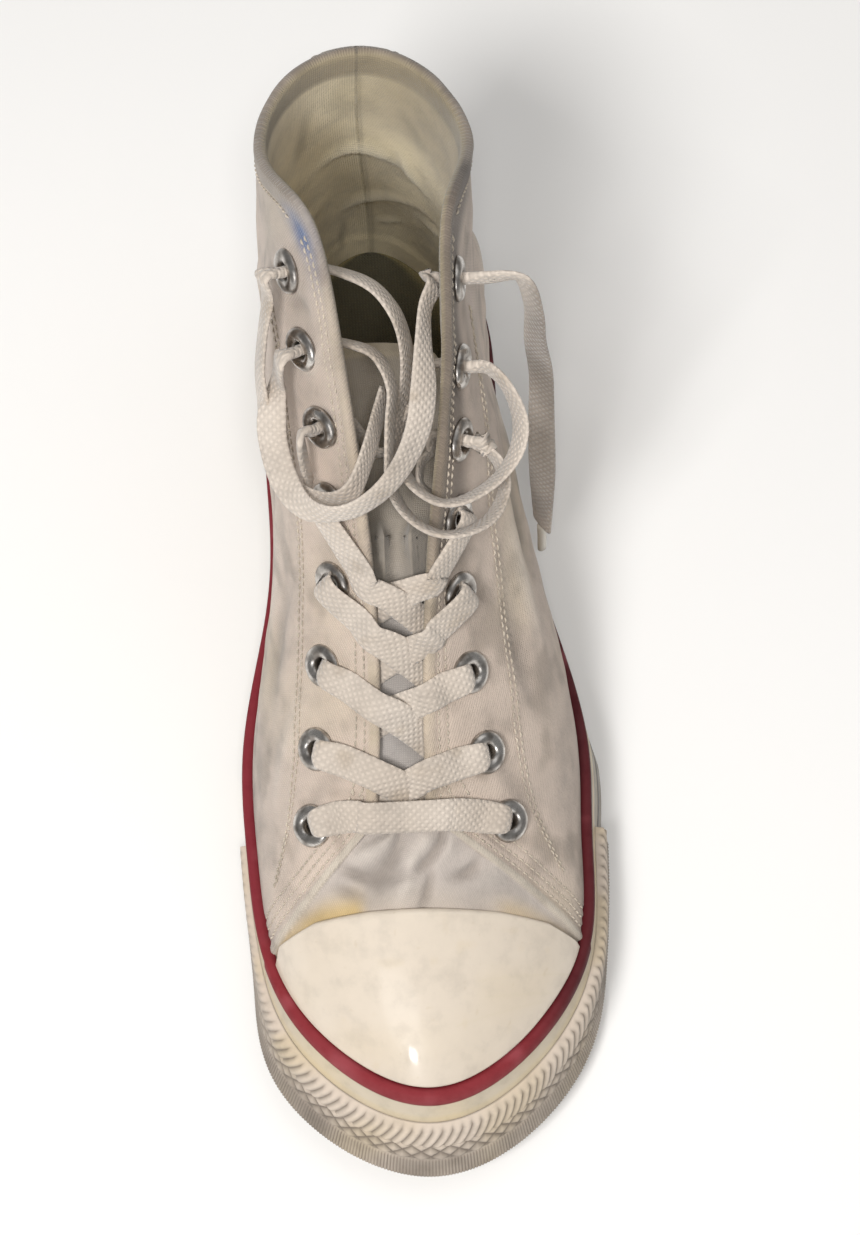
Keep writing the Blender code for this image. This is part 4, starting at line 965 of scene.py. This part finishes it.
def makeInsole():
    # rings from the upper's inside shrinking towards a line down the middle, with a soft unevenness
    stations = np.arange(0, stationCount, 0.05)
    count = len(stations)
    feather = closedSpline(steering[0], stations)[:, 2]
    heights = heightAtLevel(stations, feather + 0.01)
    ring = offsetSurface(stations, heights, np.full(count, -(wall["thickness"] + insole["margin"])))
    spine = ring.copy()
    spine[:, 0] = np.interp(ring[:, 1], (-120, 120), (-4, -3))
    shares = np.array([1.0, 1.0, 0.99, 0.97, 0.9, 0.8, 0.7, 0.55, 0.4, 0.25, 0.1])[:, None]
    points = spine + (ring - spine) * shares[..., None]
    points[..., 2] = (feather + insole["thickness"] - 0.8 * (1 - shares)
                      + (cloud(points, 14.0, 61) - 0.5) * 0.6 * (shares < 1))
    points[0, :, 2] = feather
    points[1, :, 2] = feather + insole["thickness"] - 0.5
    worn = ease(shares, 0.72, 0.95) * (0.3 + 0.8 * cloud(points, 9.0, 63))
    tone = layered(points, "#6f6a58", ("#4b483c", cloud(points, 25.0, 62) * 0.8), ("#a3966c", worn))
    made = meshPiece("insoleSheet", points, footFaces(len(points), count), [insoleLook], tone, points[..., :2] * mm)
    fitPiece(made, "insole_cloth", "insole")
    print("insole made")


makeInsole()

tongue = {"root": 1.15, "top": 4.8, "tuck": 0.16, "sag": 18.0, "thickness": 2.6, "lower": 0.6}
# Its free end lies back in the shaft: place along the shoe, level, middle, half width, drop of its sides.
tongueEnd = (
    (17.0, 105.0, -8.3, 13.0, 3.0), (27.0, 106.5, -9.0, 15.5, 2.5), (39.0, 108.0, -10.0, 17.5, 2.0),
    (51.0, 109.0, -11.0, 18.0, 2.0), (60.0, 109.5, -11.0, 17.0, 2.5), (64.0, 108.8, -11.0, 13.5, 3.0),
)


def makeTongue():
    # rows tucked under both flaps with a bridge between them, running on into the free end
    stations = np.linspace(tongue["root"], tongue["top"], 90)
    tucked = np.linspace(1 - tongue["tuck"], 1.0, 14)
    across = np.linspace(0, 1, 22)[1:-1]
    sag = tongue["sag"] * np.clip((stations - 3.3) / 2.0, 0, 1) ** 2
    depth = (-(wall["thickness"] + 0.6 + tongue["lower"]) - sag * 0.4)[:, None] + np.zeros((1, 14))
    lateral = offsetSurface(stations[:, None], tucked[None], depth)
    medial = offsetSurface(-stations[:, None], tucked[None], depth)
    bridge = lateral[:, -1:] + (medial[:, -1:] - lateral[:, -1:]) * across[None, :, None]
    bridge[..., 2] += (0.6 - sag * 0.6)[:, None] * 4 * across * (1 - across)
    top = np.concatenate([lateral, bridge, medial[:, ::-1]], 1)
    width = top.shape[1]
    share = np.concatenate([np.linspace(1, 0.36, 14), np.linspace(0.36, -0.36, 22)[1:-1], np.linspace(-0.36, -1, 14)])
    ends = [np.stack([middle + half * share, np.full(width, along), level - drop * share**2], -1)
            for along, level, middle, half, drop in tongueEnd]
    knots = np.concatenate([top[-5:-4], top[-1:], np.array(ends)]).reshape(-1, width * 3)
    leaf = smoothLine(knots, 1.2).reshape(-1, width, 3)
    start = np.linalg.norm(leaf - top[-1], axis=-1).sum(1).argmin()
    top = np.concatenate([top[:-1], leaf[start:]])
    walked = walkedAlong(top[:, width // 2])
    normal = unit(np.cross(np.gradient(top, axis=0), np.gradient(top, axis=1)))
    normal = normal * np.sign(normal[..., 2].mean())
    slack = np.minimum((cloud(top, 9.0, 71) - 0.5) * 1.6 * ease(walked, 12, 40)[:, None], 0.6)
    top = top + normal * slack[..., None]
    fromEnd = np.repeat(walked[-1] - walked, width)

    def toneOf(points):
        seam = np.concatenate([fromEnd, fromEnd, np.full(len(points) - 2 * len(fromEnd), 9.0)])
        return layered(
            points, "#b5aea9", ("#989088", cloud(points, 18.0, 72) * 0.7),
            ("#9d9281", ease(points[:, 2], 90, 104) * 0.6), ("#b9ad9a", 1 - ease(seam, 4.5, 5.2)))

    slabPiece("tongueSheet", top, top - normal * tongue["thickness"], vampLook, toneOf, "tongue", "tongue_canvas", 0.9)


makeTongue()


heelStrip = {"half": 11.0, "thickness": 1.2}


def makeHeelStrip():
    # a tape of even width up the back, lying on the cloth, with a groove along each edge
    half = heelStrip["half"]
    low = float(foxingHeight(np.array([backStation]))[0]) + 0.05
    heights = np.linspace(low, 0.985, 80)
    side = np.linspace(-1, 1, 34)
    near = lastSurface(backStation + 0.2, heights) - lastSurface(backStation, heights)
    grid = backStation + side[None] * (0.2 * half / np.linalg.norm(near, axis=1))[:, None]
    levels = np.repeat(heights[:, None], len(side), 1)
    gap = np.maximum(wall["clearance"] + wall["step"], upperProud(grid, levels) + 0.1)
    edge = 1 - np.abs(side)[None]
    groove = 0.3 * np.exp(-((edge * half - 2.2) / 0.6) ** 2)
    outer = offsetSurface(grid, levels, gap + heelStrip["thickness"] * np.minimum(1, 0.55 + edge * 6) - groove)

    def toneOf(points):
        return layered(points, "#bdb3a3", ("#8b8172", ease(cloud(points, 9.0, 81), 0.4, 0.9) * 0.7))

    slabPiece("heelStripTape", outer, offsetSurface(grid, levels, gap), tapeLook, toneOf, "heel_strip",
              "heel_strip_canvas", 0.3)


makeHeelStrip()


def ringAround(axis, angle, flat=1.0):
    # points on a circle square to an axis, pressed flat by a share
    first = unit(np.cross(axis, (0.0, 0.0, 1.0)))
    return np.cos(angle)[:, None] * first + np.sin(angle)[:, None] * np.cross(axis, first) * flat


def makeEyelets():
    # a domed ring turned about each eyelet's axis, with its barrel through the cloth
    turn = np.linspace(0, math.pi, 13)
    outer, hole = eyelet["outer"], eyelet["hole"]
    middle, half = (outer + hole) / 2, (outer - hole) / 2
    inside = [hole, hole, hole + 0.5, outer - 0.6, outer - 0.6, hole + 0.6, hole + 0.6]
    radius = np.concatenate([middle + half * np.cos(turn), inside])[:, None, None]
    level = np.concatenate([0.1 + eyelet["dome"] * np.sin(turn), [-1.2, -3.4, -3.7, -3.7, -3.4, -3.3, -0.1]])
    segments = 48
    angle = np.arange(segments) / segments * math.tau
    points = np.array([centre + radius * ringAround(normal, angle) + level[:, None, None] * normal
                       for centre, normal in seats.values()])
    one = gridFaces(len(radius) + 1, segments, closed=True) % (len(radius) * segments)
    faces = one + np.arange(len(seats))[:, None, None] * len(radius) * segments
    made = meshPiece("eyeletRings", points, faces.reshape(-1, 4), [eyeletLook])
    fitPiece(made, "eyelet_metal", *[f"eyelet_{word}_{row}" for word in ("lateral", "medial") for row in range(1, 9)])
    print("eyelets made")


makeEyelets()


lace = {"width": 8.6, "thickness": 1.6, "spacing": 1.1}


def ribbonPiece(name, centres, facing, widths, thicknesses, seed):
    # a flattened ring of 18 points carried along the line; its flat side looks along facing
    along = unit(np.gradient(centres, axis=0))
    facing = unit(facing - along * (facing * along).sum(1, keepdims=True))
    across = np.cross(along, facing)
    sides = 18
    angle = np.arange(sides) / sides * math.tau
    c = np.sign(np.cos(angle)) * np.abs(np.cos(angle)) ** 0.75
    s = np.sign(np.sin(angle)) * np.abs(np.sin(angle)) ** 0.8
    points = centres[:, None] + across[:, None] * c[None, :, None] * widths[:, None, None] / 2
    points = points + facing[:, None] * s[None, :, None] * thicknesses[:, None, None] / 2
    rings = len(points)
    k = np.arange(0, sides, 2)
    first = np.stack([(k + 2) % sides, (k + 1) % sides, k, np.full(len(k), rings * sides)], 1)
    last = np.stack([k, (k + 1) % sides, (k + 2) % sides, np.full(len(k), rings * sides + 1)], 1)
    last[:, :3] += (rings - 1) * sides
    faces = np.concatenate([gridFaces(rings, sides, closed=True), first, last])
    flat = np.concatenate([points.reshape(-1, 3), [centres[0] - along[0] * 0.4, centres[-1] + along[-1] * 0.4]])
    walked = walkedAlong(centres)
    uv = np.stack(np.broadcast_arrays(walked[:, None], c[None] * widths[:, None] / 2), -1).reshape(-1, 2)
    uv = np.concatenate([uv, [[0, 0], [walked[-1], 0]]]) * mm
    tone = layered(
        flat, "#d6cabd", ("#c0b2a3", cloud(flat, 11.0, seed) * 0.7),
        ("#a3917a", ease(cloud(flat, 5.0, seed + 1), 0.7, 0.95) * 0.35),
        # painted shade on the lace's tail, which hangs down the lateral side
        ("#948a80", ease(flat[:, 0], 23, 28) * ease(flat[:, 2], 40, 60) * 0.75))
    return meshPiece(name, flat, faces, [laceLook], tone, uv)


# Where each strand crosses the gap's edges, as distances along the throat edge: over its own
# edge and under the far one. Its rise over the gap and the width it shows there come after.
strandRows = (
    (2, 1, 14.5, 6.0, -0.8, 9.0), (2, -1, 15.0, 5.0, 0.6, 9.2),
    (3, 1, 35.5, 29.6, -1.0, 9.0), (3, -1, 33.5, 24.4, 0.7, 9.2),
    (4, 1, 51.6, 44.0, -1.0, 8.6), (4, -1, 53.0, 42.5, 0.7, 9.2),
    (5, 1, 68.0, 60.5, 0.5, 8.8), (5, -1, 67.5, 55.5, 1.6, 8.0),
)
barRise = ((1.0, 0.0), (0.7, 0.5), (0.4, 1.2), (0.1, 1.8))
barAlong = (3.6, 3.8)


def overFlap(side, along, setback, rise):
    # place over the cloth of a flap, and the way out of it
    station, height = throatPoint(side, along, max(setback, 0.02))
    normal = lastNormal(station, height)
    return lastSurface(station, height) + normal * (wall["step"] + rise), normal


# Out of an eyelet: way out, way on, how the flat side faces out and on, and the width that shows.
headRows = {
    "low": ((-5.5, -1.2, 0, 1, 3.4), (-1.8, -0.2, 0, 1, 3.6), (0.7, 0.6, 0.6, 0.8, 5.6), (2.3, 2.4, 1, 0.2, 7.4),
            (2.4, 4.6, 1, -0.1, 8.2)),
    "high": ((-5.5, -1.2, 0, 1, 3.4), (-1.5, -1.2, 0, 1, 4.2), (1.6, -1.8, 0.4, 0.9, 7.4), (3.6, -0.4, 1, 0.2, 9.0),
             (3.4, 3.4, 1, -0.1, 9.0)),
}


def strandHead(row, side, edgeAlong):
    # up through the eyelet, over its rim and out towards the gap: place, flat side, width
    centre, normal = seats[side, row]
    along, setback = eyeletPlace(row, side)
    share = (eyelet["outer"] + 2.0) / setback
    beyond = overFlap(side, along + (edgeAlong - along) * share, setback * (1 - share), 0)[0] - centre
    beyond = unit(beyond - normal * (beyond @ normal))
    return [(centre + normal * up + beyond * out, normal * faceUp + beyond * faceOut, width)
            for up, out, faceUp, faceOut, width in headRows["high" if row > 3 else "low"]]


def flapKnots(row, side, edgeAlong, rows):
    # from the eyelet's rim to the throat edge, at these shares of the way and rises
    along, setback = eyeletPlace(row, side)
    made = []
    for share, rise in rows:
        reach = share * (setback - eyelet["outer"] - 3.2) / setback
        made.append((*overFlap(side, edgeAlong + (along - edgeAlong) * reach, setback * reach, 0.9 + rise), 9.0))
    return made


def layStrand(name, knots, seed, *nodes):
    # place, facing and width of the ribbon run smoothly through the knots
    table = np.array([np.concatenate([place, face / np.linalg.norm(face), [width]]) for place, face, width in knots])
    both = smoothLine(table, lace["spacing"])
    thick = lace["thickness"] * np.clip(lace["width"] / both[:, 6], 1, 2.0) ** 0.8
    fitPiece(ribbonPiece(name, both[:, :3], both[:, 3:6], both[:, 6], thick, seed), "lace_cloth", *nodes)


def makeCrossings():
    first, second = [strandHead(1, side, along) + flapKnots(1, side, along, barRise)
                     for side, along in zip((-1, 1), barAlong)]
    layStrand("laceBar", first + second[::-1], 90, "lace_bar_1")
    for row, side, near, far, rise, width in strandRows:
        knots = strandHead(row, side, near) + flapKnots(row, side, near, ((1.0, 0.0), (0.5, 0.1), (0.0, 0.0)))
        under = -(wall["step"] + wall["thickness"] + 0.9)
        tuck = overFlap(-side, far, 0.0, under)
        end = overFlap(-side, far + (far - near) * 0.35, 6.0, under - 0.4)
        edge = knots[-1]
        for share, lifted in ((0.35, 0.8), (0.7, 0.75)):
            place = edge[0] * (1 - share) + tuck[0] * share + np.array([0, 0, rise * 4 * share * (1 - share) + lifted])
            knots.append((place, edge[1] * (1 - share) + tuck[1] * share, width))
        knots += [(*tuck, width), (*end, width)]
        nodes = [f"lace_cross_{row}"] if side > 0 else []
        layStrand(f"laceStrand{row}{'Lateral' if side > 0 else 'Medial'}", knots, 90 + row * 3 + side, *nodes)
    print("crossings made")


makeCrossings()

# Routes of the loose ends in mm. The fourth number is the width of flat lace that shows from above.
laceOneRoute = (
    (0.5, 16, 117, 3), (-2.5, 19, 119, 3), (-2, 24, 120, 3), (1, 27, 121, 3), (1, 6, "out"),
    (13, 27, 124.5, 3), (17.5, 21.5, 124, 3.4), (18.5, 15, 122, 3.4), (14.5, 7.5, 122, 3.6),
    (7.5, 3, 124.5, 3.4), (0.5, 2.5, 125.5, 3.4), (-5.5, 8, 122, 3.2), (-9, 15, 119, 3.2),
    (-10.5, 20, 122, 3.2), (-10.5, 25.5, 128, 3.2), (-10, 32, 133.5, 3.4), (-9.5, 37.5, 138, 3.6),
    (-11.5, 42.5, 141.5, 3.8), (-15.5, 46.5, 143, 3.6), (-1, 7, "out"), (-38, 41.5, 137, 5),
    (-40, 34.5, 134, 8.8), (-40, 27.5, 130, 9), (-37.5, 18, 127, 8.8), (-33, 11, 127, 7.2),
    (-26.5, 8, 129, 4.6), (-20, 8, 132, 4.8), (-13, 11.5, 136, 5.8), (-7.5, 17.5, 140, 6.8),
    (-4, 24.5, 144.5, 7.8), (-2.5, 33, 149, 7.8), (-2, 43, 153, 5.4), (-1, 51.5, 155.5, 4.2),
    (1.5, 56.5, 157, 3.6), (1, 8, "out"), (23, 57, 158, 3), (27, 54, 147, 4.4), (29, 52, 131, 5.8),
    (32, 50, 113, 6.8), (33.5, 45.5, 95, 8), (35, 39.5, 76, 8.4), (36.5, 36, 58, 6.4),
    (37.5, 34, 46, 5),
)
laceTwoRoute = (
    (-31, 20, 119, 3), (-1, 6, "in"), (-16.5, 32, 120.5, 3),
    (-13, 28.5, 118, 3), (-7.5, 32, 117.5, 3), (-2, 41, 125, 3), (1, 7, "out"),
    (19, 33.5, 144, 3.4), (22, 27, 139, 4.4), (21, 20.5, 134.5, 4.4), (16, 14.5, 131, 3.6),
    (8, 10, 129.5, 3.4), (1.5, 9.5, 129, 3.4), (-4, 14, 127, 3.4), (-6.5, 20.5, 123, 3.6),
    (-8.5, 27.5, 120.5, 4.4), (-6.5, 36, 124, 4.8), (-5, 42.5, 131.5, 4.6), (-5.5, 48.5, 141, 4.6),
    (-8.5, 54.5, 148.5, 4.6), (-15, 60.5, 152.5, 4.4), (-1, 8, "out"), (-40, 57.5, 153, 3.4),
    (-41.5, 51, 146, 3.4), (-42.5, 43.5, 136.5, 3.4), (-41, 34, 128, 4), (-38, 23.5, 122.5, 5),
    (-33, 16.5, 123, 5), (-26.5, 12.5, 127, 5), (-21, 13, 131.5, 4.8), (-16.5, 22, 133, 4.8),
    (-13, 33, 131.5, 4.4), (-11, 39.5, 132, 3.6),
)
eyeletPass = (7.0, 2.3, -2.3, -7.0)


def routeKnots(route):
    # place, width that shows and how far the lace is squeezed together
    knots = []
    for entry in route:
        if entry[2] not in ("in", "out"):
            knots.append((*entry, 0.0))
            continue
        centre, normal = seats[entry[0], entry[1]]
        passed = eyeletPass if entry[2] == "in" else eyeletPass[::-1]
        knots += [(*(centre + normal * out), 3.2, 0.35 if abs(out) > 4 else 1.0) for out in passed]
    return np.array(knots)


def layLoose(name, route, seed):
    # the flat side turns away from the eye by the angle whose cosine is shown / full width
    both = smoothLine(routeKnots(route), lace["spacing"])
    centres, shown, pinch = both[:, :3], both[:, 3], np.clip(both[:, 4], 0, 1)
    along = unit(np.gradient(centres, axis=0))
    up = np.array([-0.06, -0.33, 0.94])
    face = unit(up - along * (along @ up)[:, None])
    for _ in range(22):
        face[1:-1] = face[:-2] + face[1:-1] + face[2:]
        face = unit(face)
    turned = np.arccos(np.clip((shown - lace["thickness"] * 0.6) / lace["width"], 0.05, 1))
    face = face * np.cos(turned)[:, None] + np.cross(along, face) * np.sin(turned)[:, None]
    width = (lace["width"] - 0.6) * (1 - pinch) + 3.6 * pinch
    thick = lace["thickness"] * (1 - pinch) + 2.9 * pinch
    return ribbonPiece(name, centres, face, width, thick, seed), centres


def makeLoose():
    for name, node, route, seed, farEnd, extra in (
            ("looseLaceOne", "lace_end_one", laceOneRoute, 120, "fitting", {"with_pieces": [makeTip()]}),
            ("looseLaceTwo", "lace_end_two", laceTwoRoute, 130, "object", {})):
        piece, centres = layLoose(name, route, seed)
        length = float(walkedAlong(centres)[-1])
        fitPiece(piece, "lace_cloth", node)
        print(name, "length", round(length, 1), "mm")


def makeTip():
    # rolled plastic tube with a slightly crushed end
    end = np.array(laceOneRoute[-1][:3], float)
    along = unit(end - np.array(laceOneRoute[-2][:3], float))
    place = np.array([0.3, 0.3, 0.6, 3.0, 7.0, 11.0, 13.8, 14.2, 14.2])[:, None, None]
    radius = np.array([0.02, 1.3, 1.5, 1.45, 1.35, 1.35, 1.3, 1.0, 0.02])[:, None, None]
    points = end + along * place + ringAround(along, np.arange(24) / 24 * math.tau, 0.8) * radius
    made = meshPiece("laceTipTube", points, gridFaces(len(place), 24, closed=True), [capLook],
                     layered(points, "#cfc8ba"), np.zeros((points.size // 3, 2)))
    fitPiece(made, "lace_tip_plastic", "lace_tip")
    return made


makeLoose()


# Stitches: small thread beads along the seams, in mm.
stitch = {"length": 1.7, "pitch": 2.25, "radius": 0.3}


def layStitches(name, seams, code):
    # each bead is four rings of six points along the seam, arched out of the cloth
    rings, sides = 4, 6
    angle = np.arange(sides) / sides * math.tau
    share = np.linspace(0, 1, rings)
    arch = np.sin(math.pi * share)
    size = (stitch["radius"] * (0.35 + 0.65 * np.sqrt(arch)))[:, None, None]
    beads = []
    for centres, normals in seams:
        walked = walkedAlong(centres)
        starts = np.arange(0.5, walked[-1] - stitch["length"], stitch["pitch"])
        places = starts[:, None] + share * stitch["length"]
        at, out = [np.stack([np.interp(places, walked, line[:, i]) for i in range(3)], -1)
                   for line in (centres, normals)]
        out = unit(out)
        across = np.cross(unit(at[:, -1:] - at[:, :1]) + 0 * out, out)
        at = at + out * (arch * 0.28 - 0.08)[None, :, None]
        ring = across[:, :, None] * np.cos(angle)[:, None] + out[:, :, None] * np.sin(angle)[:, None]
        beads.append((at[:, :, None] + ring * size).reshape(-1, rings * sides, 3))
    beads = np.concatenate(beads)
    one = np.concatenate([gridFaces(rings, sides, closed=True), np.array([[3, 2, 1, 0], [5, 4, 3, 0]]),
                          np.array([[0, 1, 2, 3], [0, 3, 4, 5]]) + (rings - 1) * sides])
    faces = (one[None] + (np.arange(len(beads)) * rings * sides)[:, None, None]).reshape(-1, 4)
    points = beads.reshape(-1, 3)
    tone = layered(points, code, ("#8e8371", cloud(points, 9.0, 140) * 0.6))
    fitPiece(meshPiece(name, points, faces, [threadLook], tone, points[:, :2] * mm), "lace_cloth")
    print(name, len(beads), "stitches")


def seamOn(station, height):
    # places just over the cloth, and the way out of it
    normal = lastNormal(station, height)
    return lastSurface(station, height) + normal * (upperProud(station, height) + 0.12)[:, None], normal


def frontSeam(side, distance):
    # moved back from the quarter's front edge by a distance on the cloth
    heights = np.linspace(0.06, 0.99, 120)
    start = quarterStation(heights, side) * side
    here, there = [frontDistance(lastSurface(start + side * move, heights), side) for move in (0, 0.02)]
    station = start + side * distance / frontSlant / np.maximum(np.abs(there - here) / 0.02, 4.0)
    keep = (above(foxingHeights, station, heights) > 0) & (fromTop(station, heights) > 4)
    return seamOn(station[keep], heights[keep])


def throatSeam(side, distance, first, last):
    station = np.linspace(first, last, 260) * side
    return seamOn(station, 1 - distance / ribLength(station))


def freeSeam(knots):
    line = smoothLine(np.array(knots, float) * (10, 100), 1.0) / (10, 100)
    return seamOn(line[:, 0], line[:, 1])


# Station and height of the stay seam that runs up each quarter.
stayRow = ((2.35, 0.42), (2.7, 0.55), (3.2, 0.62), (3.9, 0.66), (4.7, 0.69), (5.5, 0.71), (6.3, 0.72), (6.9, 0.74))


def makeStitches():
    seams = []
    for side in (1, -1):
        seams += [frontSeam(side, d) for d in seamRows["front"]]
        seams += [throatSeam(side, d, 2.1, 7.0) for d in seamRows["throat"]]
        seams += [freeSeam([(side * s, t - drop) for s, t in stayRow]) for drop in (0, 0.022)]
    seams.append(throatSeam(1, seamRows["collar"][0], 7.2, 14.8))
    layStitches("quarterStitching", seams, "#dccfbd")


makeStitches()


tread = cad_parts["outsole"].data.materials
for index in range(len(tread)):
    tread[index] = gumLook


def makeFloor():
    size, level = 3000.0, -0.05
    points = np.array([(-size, -size, level), (size, -size, level), (size, size, level), (-size, size, level)])
    look = newMaterial("pale floor", Roughness=0.9, Base_Color=[*linearColour("#f4f2ef"), 1])[0]
    meshPiece("floor", points, np.array([[0, 1, 2, 3]]), [look])


makeFloor()

# Place and size in m, power in W; "gloss" and "matt" say which reflections show the lamp.
lightAim = np.array((0, 0, 0.05))
lights = {
    "beside the eye": {"place": (-0.42, -0.49, 1.13), "size": 0.3, "power": 11.0, "gloss": False, "matt": True},
    "at the eye": {"place": (-0.09, -0.52, 1.42), "size": 0.2, "power": 5.6, "gloss": False, "matt": True},
    "low in front": {"place": (-0.22, -1.25, 0.66), "size": 0.14, "power": 3.2, "gloss": True, "matt": False},
    "low sheen": {"place": (-0.3, -1.05, 0.95), "size": 0.6, "power": 2.4, "gloss": True, "matt": False},
    "wide overhead": {"place": (0.5, 0.5, 1.6), "size": 1.6, "power": 5.0, "gloss": True, "matt": True},
}


def makeLights():
    for name, values in lights.items():
        data = bpy.data.lights.new(name, "AREA")
        data.shape = "SQUARE"
        data.size, data.energy = values["size"], values["power"]
        made = bpy.data.objects.new(name, data)
        made.visible_glossy, made.visible_diffuse = values["gloss"], values["matt"]
        made.location = values["place"]
        away = np.array(values["place"]) - lightAim
        made.rotation_euler = (math.acos(away[2] / np.linalg.norm(away)), 0,
                               math.atan2(away[1], away[0]) + math.pi / 2)
        bpy.context.scene.collection.objects.link(made)
    world = bpy.data.worlds.new("soft room")
    bpy.context.scene.world = world
    world.use_nodes = True
    setSockets(world.node_tree, world.node_tree.nodes["Background"], _0=[1, 1, 1, 1], _1=0.24)


makeLights()
bpy.context.scene.view_settings.view_transform = "Standard"
print("lights placed")
